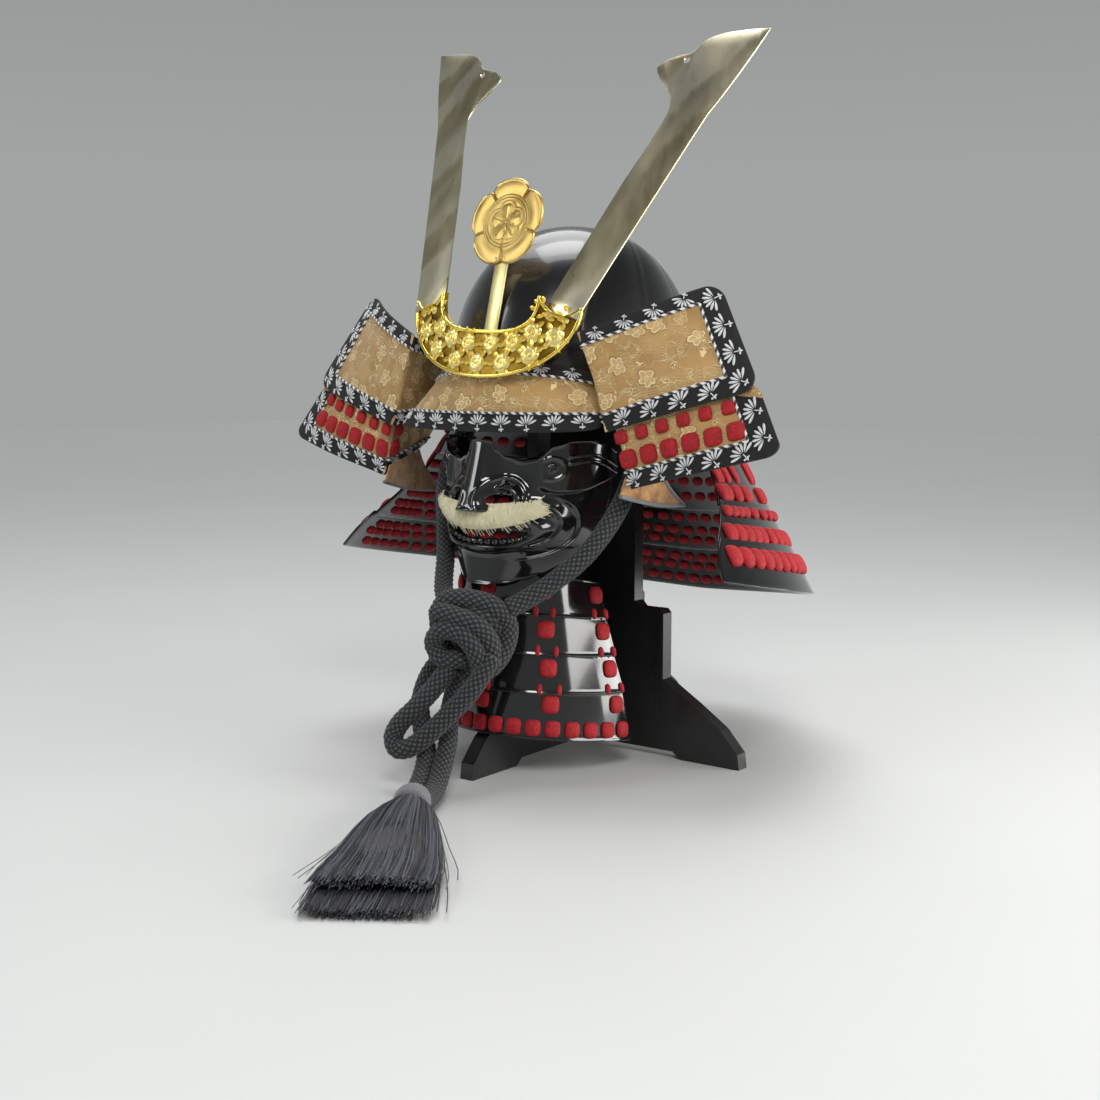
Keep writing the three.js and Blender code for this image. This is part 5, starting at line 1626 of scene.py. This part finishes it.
# The face mask: x is across it and z up; angles are counted from the middle of the face.
mask = {"wall": 2.5, "halfAngle": 98.0, "axisY": -80.0, "mouthHalf": 50.0, "mouthZ": 234.0,
        "mouthHalfHeight": 14.0, "lip": 5.5, "noseTipZ": 258.0, "noseTopZ": 318.0, "noseFront": 6.0,
        "wingX": 25.0, "wingZ": 264.0, "wingHalf": 13.0, "nostrilX": 25.0, "nostrilZ": 262.5,
        "bandFrom": 38.0, "rosetteAt": 46.8, "rosetteZ": 291.0, "teeth": 11, "mouthPower": 2.6,
        "nostril": (9.5, 6.0), "openAheadOf": -120.0,
        # how far each form stands off the face or goes into it
        "noseRise": (9, 22), "wingRise": 7.5, "wingRimRise": 1.6, "hollowDepth": 3.5, "underLipDepth": 4.0,
        "bandRise": 4.5, "bandLineRise": 1.3, "ovalRise": 1.0, "lipRise": 4.5, "edgeRise": 0.8}
# z level, half-width, depth of the front ahead of the axis, squareness of the section
maskSections = ((184, 68, 96, 1.6), (206, 75, 92, 1.7), (222, 79, 88, 1.9), (246, 81, 86, 2.05),
                (275, 82, 83, 2.0), (320, 83, 78, 2.0))
# degrees from the front, top edge and bottom edge of the mask there
maskEdges = ((0, 318, 183), (7, 316, 183), (11, 307, 183), (17, 301, 184), (28, 297, 185), (37, 299, 188),
             (48, 311, 192), (60, 316, 200), (72, 316, 214), (84, 313, 236), (98, 304, 262))
# degrees from the front: the lower edge of the cheek band and its upper raised line
maskBand = ((36, 276, 298), (44, 270.5, 298), (52, 268.5, 300), (62, 268.5, 302.5), (72, 271, 303.5),
            (84, 276, 300), (98, 281, 291))
# folds round the mouth's corner: middle and half-size, in degrees from the front and in height
maskFolds = ((24.0, 240.0, 31.0, 23.0, 3.2), (25.0, 239.0, 43.0, 33.0, 3.6))


def fromTable(rows, value, eased=False):
    k = 0
    while k < len(rows) - 2 and value > rows[k + 1][0]:
        k += 1
    part = clamp((value - rows[k][0]) / (rows[k + 1][0] - rows[k][0]))
    part = smoothstep(part, 0, 1) if eased else part
    return [mix(a, b, part) for a, b in zip(rows[k][1:], rows[k + 1][1:])]


# Height of the nose and its wings above the face.
def noseRelief(x, z):
    down = clamp((mask["noseTopZ"] - z) / (mask["noseTopZ"] - mask["noseTipZ"]))
    foot = mix(20, 34, down ** 1.3)
    flank = 1 - smoothstep(abs(x), mask["noseFront"] - 3, foot)
    tall = mix(*mask["noseRise"], down ** 1.2) * flank
    out = math.hypot((abs(x) - mask["wingX"]) / mask["wingHalf"], (z - mask["wingZ"]) / 11.5)
    wing = mask["wingRise"] * bump(out, 0.88, 0.36)
    rim = math.hypot((abs(x) - mask["wingX"]) / (mask["wingHalf"] + 6), (z - mask["wingZ"]) / 19)
    above = smoothstep(z, 247, 254)
    return (max(tall, wing) + mask["wingRimRise"] * bump(rim, 1, 0.1)) * above


# Height of the folds that sweep round the mouth's corners: a sharp inner edge, a slow fall outwards.
def foldRelief(angle, z):
    lift = 0.0
    for middle, level, wide, tall, depth in maskFolds:
        out = math.hypot((angle - middle) / wide, (z - level) / tall)
        beyond = (out - 1) * 30
        edge = smoothstep(beyond, -1.6, 0.6) * math.exp(-max(beyond, 0) / 6)
        lift += depth * edge * smoothstep(angle, middle + 4, middle + 14) * smoothstep(268 - z, 0, 8)
    return lift


def maskPoint(u, v):
    t = 2 * u - 1
    angle = mask["halfAngle"] * math.copysign(abs(t) ** 1.2, t)
    turned = abs(angle)
    top, bottom = fromTable(maskEdges, turned, True)
    z = mix(bottom, top, v)
    half, front, square = fromTable(maskSections, z)
    x, y = superellipse(half, front, square, math.radians(90 - angle))
    # the chin's front is cut nearly flat
    flat = front * mix(0.955, 1.08, smoothstep(z, 205, 228))
    y = -2 * math.log(math.exp(-y / 2) + math.exp(-flat / 2))
    away = Vector((x, -y, 0)).normalized()
    lift = noseRelief(x, z)
    # the hollow beside the nose, and the step under the lower lip
    lift -= mask["hollowDepth"] * bump(turned, 27, 9) * bump(z, 290, 16)
    lift -= mask["underLipDepth"] * smoothstep(219 - z, 0, 3) * bump(turned, 0, 50)
    # the cheek band, its two raised lines and the oval round its rosette
    bandLow, line = fromTable(maskBand, turned)
    onBand = smoothstep(turned, mask["bandFrom"], mask["bandFrom"] + 5)
    lift += mask["bandRise"] * onBand * smoothstep(z, bandLow - 1.2, bandLow + 1.4)
    lined = smoothstep(turned, 56, 58.5)
    lift += mask["bandLineRise"] * lined * (bump(z, line, 1.3) + bump(z, line - 6, 1.3))
    oval = math.hypot((turned - mask["rosetteAt"]) / 8.5, (z - mask["rosetteZ"]) / 10)
    lift += mask["ovalRise"] * bump(oval, 1, 0.13) * onBand
    # a rolled lip round the mouth, and the folds beside it
    reach = math.hypot(x / (mask["mouthHalf"] + mask["lip"]),
                       (z - mask["mouthZ"]) / (mask["mouthHalfHeight"] + mask["lip"]))
    lift += mask["lipRise"] * bump(reach, 0.93, 0.15) * (1 - 0.5 * smoothstep(z, 240, 256))
    lift += foldRelief(turned, z)
    lift += mask["edgeRise"] * (bump(v, 0, 0.012) + bump(v, 1, 0.012))
    return Vector((x, mask["axisY"] - y, z)) + away * lift


# Faces inside a superellipse seen from the front are taken out and the edge drawn to its outline.
def cutOpening(sheet, x, z, halfX, halfZ, power):
    mesh = sheet.data
    front = mask["openAheadOf"] * millimetre

    def measure(vertex):
        across, up = vertex.co.x / millimetre - x, vertex.co.z / millimetre - z
        return (abs(across) / halfX) ** power + (abs(up) / halfZ) ** power

    inside = [measure(vertex) < 1 and vertex.co.y < front for vertex in mesh.vertices]
    choose(sheet)
    bpy.ops.object.mode_set(mode="EDIT")
    bpy.ops.mesh.select_all(action="DESELECT")
    bpy.ops.mesh.select_mode(type="FACE")
    bpy.ops.object.mode_set(mode="OBJECT")
    for polygon in mesh.polygons:
        polygon.select = all(inside[k] for k in polygon.vertices)
    bpy.ops.object.mode_set(mode="EDIT")
    bpy.ops.mesh.delete(type="FACE")
    bpy.ops.object.mode_set(mode="OBJECT")
    for vertex in mesh.vertices:
        level = measure(vertex)
        if level < 1 and vertex.co.y < front:
            grow = max(level, 1e-3) ** (-1 / power)
            vertex.co.x = mix(x * millimetre, vertex.co.x, grow)
            vertex.co.z = mix(z * millimetre, vertex.co.z, grow)


# The place across the mask, from 0 to 1, that lies so many degrees from the front.
def maskAcross(angle):
    t = math.copysign((abs(angle) / mask["halfAngle"]) ** (1 / 1.2), angle)
    return (t + 1) / 2


def maskAlong(angle, z):
    top, bottom = fromTable(maskEdges, abs(angle), True)
    return maskAcross(angle), (z - bottom) / (top - bottom)


def makeMask():
    shell = makeSheet(sampled(maskPoint, 240, 190))
    mouthHalf, mouthTall, power = mask["mouthHalf"], mask["mouthHalfHeight"], mask["mouthPower"]
    cutOpening(shell, 0, mask["mouthZ"], mouthHalf, mouthTall, power)
    for side in (-1, 1):
        cutOpening(shell, side * mask["nostrilX"], mask["nostrilZ"], *mask["nostril"], 2)
    thicken(shell, mask["wall"])
    finishPiece(shell, "maskShell", lacquer, ("face_mask",))
    places = [standOn(maskPoint, *maskAlong(side * mask["rosetteAt"], mask["rosetteZ"]), 0.2)
              for side in (-1, 1)]
    rosettes = placeCopies(makeRosette(5.6, 8), places)
    finishPiece(rosettes, "maskRosettes", lacquer, angle=plateAngle)

    # a gum behind the lower lip carries the teeth
    def gum(u, v):
        x = mix(-44, 44, u)
        low = mask["mouthZ"] - mouthTall * (1 - abs(x / mouthHalf) ** power) ** (1 / power)
        return Vector((x, -163.5 + 15.5 * (x / 46) ** 2, low + mix(-5, 4.5, v)))

    strip = makeSheet(sampled(gum, 60, 6), thickness=1.5)
    places = [standOn(gum, mix(0.07, 0.93, k / (mask["teeth"] - 1)), 0.72, 0.1) for k in range(mask["teeth"])]
    teeth = placeCopies(makePad(7.6, 8.4, 3.2, 0.6, 12, 8), places)
    finishPiece(joinPieces([strip, teeth]), "maskTeeth", lacquer, angle=plateAngle)


makeMask()
print("mask made")


# The moustache is a body with hairs lying down over it.
moustache = {"half": 60.0, "height": 26.0, "centreY": -175.0, "endY": -149.0, "z": 248.0, "endRise": 4.5,
             "hairs": 3200, "endHairs": 40, "hair": 0.24, "strayShare": 0.03}


def moustachePoint(t, high, deep):
    fullness = math.sqrt(max(1 - 0.55 * t * t, 0.1))
    y = mix(moustache["centreY"], moustache["endY"], t * t) + (1 - high * high) * -3.5 + deep * 5
    # its top is straight and its lower edge curved
    middle = moustache["z"] + moustache["endRise"] * t * t + 0.5 * moustache["height"] * (1 - fullness)
    return Vector((moustache["half"] * t, y, middle + high * 0.5 * moustache["height"] * fullness))


def makeMoustache():
    draws = random.Random(3)

    def pad(u, v):
        t, a = 2 * u - 1, 2 * math.pi * v
        thin = (1 - abs(t) ** 6) ** 0.5 if abs(t) < 1 else 0
        return moustachePoint(t * 0.97, -math.sin(a) * 0.80 * thin, 0.9 - math.cos(a) * 0.75 * thin)

    body = makeSheet(sampled(pad, 70, 24), closed=True)
    body.data.materials.append(bristle)
    curve = newStrands("hairs", moustache["hair"], bristle)
    for k in range(moustache["hairs"]):
        t = draws.uniform(-0.985, 0.985)
        start = draws.uniform(-0.35, 0.86)
        stray = draws.random() < moustache["strayShare"]
        down = draws.uniform(1.1, 1.7) if stray else draws.uniform(0.75, 1.05)
        deep = draws.uniform(-0.35, 0.5)
        spread = 0.10 * t + draws.uniform(-0.03, 0.03)
        end = max(start - down, -1.5 if stray else -1.02)
        addStrand(curve, [moustachePoint(clamp(t + spread * part, -1.1, 1.1), mix(start, end, part),
                                         deep - 0.25 * math.sin(math.pi * part))
                          for part in (0, 0.25, 0.5, 0.75, 1)])
    for side in (-1, 1):
        for k in range(moustache["endHairs"]):
            high = draws.uniform(-0.7, 0.8)
            reach = draws.uniform(0.02, 0.09)
            rise = draws.uniform(-0.2, 0.5)
            addStrand(curve, [moustachePoint(side * (0.93 + reach * part), high + rise * part * part, 0.1)
                              for part in (0, 1 / 3, 2 / 3, 1)])
    whole = joinPieces([body, strandsToMesh(curve)])
    finishPiece(whole, "moustacheHair", None, ("moustache",))


makeMoustache()
print("moustache made")


# The throat guard's lames are half rings, each a little wider than the one above.
throat = {"wall": 2.0, "halfAngle": 92.0, "knots": 5, "hemKnots": 17, "knotsAt": (0.62, 0.62, 0.62, 0.72),
          "hemAt": 0.22, "tipsAt": 0.1, "tipsApart": 4.6 / 150}
throatKnot = {"width": 17.2, "height": 17.2, "depth": 4.2, "square": 0.6}
hemKnot = {"width": 15.48, "height": 15.824, "depth": 4.2, "square": 0.6}
tipKnot = {"width": 5.2, "height": 11.0, "depth": 2.6, "square": 0.9, "segments": 10, "rings": 6}
# half-width, front and centre of the plan curve, rear and front heights, at the top and bottom edges
throatLames = (
    ((69, -150, -76, 180, 196), (78, -158, -73, 146, 156)),
    ((75, -154, -72, 147, 158), (84, -162, -68, 109, 120)),
    ((80.5, -158, -67, 110, 122), (90, -166, -63, 74, 84)),
    ((86.5, -162, -62, 75, 86), (94, -168, -56, 26, 42)),
)


def throatSurface(index):
    top, bottom = throatLames[index]

    def surface(u, v):
        turn = math.radians(throat["halfAngle"] * (2 * u - 1))
        half, front, centre, rearZ, frontZ = (mix(b, t, v) for t, b in zip(top, bottom))
        ahead = math.cos(turn)
        return Vector((half * math.sin(turn), centre + (front - centre) * ahead,
                       mix(rearZ, frontZ, max(ahead, 0))))

    return surface


def acrossEvenly(count, start):
    return [mix(start, 1 - start, k / (count - 1)) for k in range(count)]


def makeThroatGuard():
    for index, v in enumerate(throat["knotsAt"]):
        surface, number = throatSurface(index), index + 1
        makeLame(f"throatPlate{number}", surface, 120, throat["wall"], f"throat_lame_{number}")
        columns = acrossEvenly(throat["knots"], 0.04)
        makeKnots(f"throatKnots{number}", throatKnot, [standOn(surface, u, v, 0.3) for u in columns],
                  (f"throat_lacing_{number}",))
        if number < len(throatLames):
            tips = [standOn(surface, u + side * throat["tipsApart"], throat["tipsAt"], 0.2)
                    for u in columns for side in (-1, 1)]
            makeKnots(f"throatTips{number}", tipKnot, tips)
    hem = [standOn(surface, u, throat["hemAt"], 0.3) for u in acrossEvenly(throat["hemKnots"], 0.035)]
    makeKnots("throatHemKnots", hemKnot, hem, ("throat_lacing_hem",))


makeThroatGuard()
print("throat guard made")


# The stand, the bracket and the socket keep their own solids.
standEdge = {"width": 0.9, "segments": 3, "angle": 35}

for nodeName in ("stand_board_cross", "stand_board_side", "mask_bracket", "crest_socket"):
    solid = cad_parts[nodeName]
    solid.data.materials.clear()
    solid.data.materials.append(standPaint)
    softEdge = solid.modifiers.new("softEdge", "BEVEL")
    softEdge.width = standEdge["width"] * millimetre
    softEdge.segments = standEdge["segments"]
    softEdge.limit_method = "ANGLE"
    softEdge.angle_limit = math.radians(standEdge["angle"])
print("stand painted")


# A plain pale floor.
deselectAll()
bpy.ops.mesh.primitive_grid_add(x_subdivisions=8, y_subdivisions=8, size=studio["floorSize"])
floor = bpy.context.object
floor.name = "floor"
floor.data.materials.append(makeFloorSheet(studio["floorColour"]))
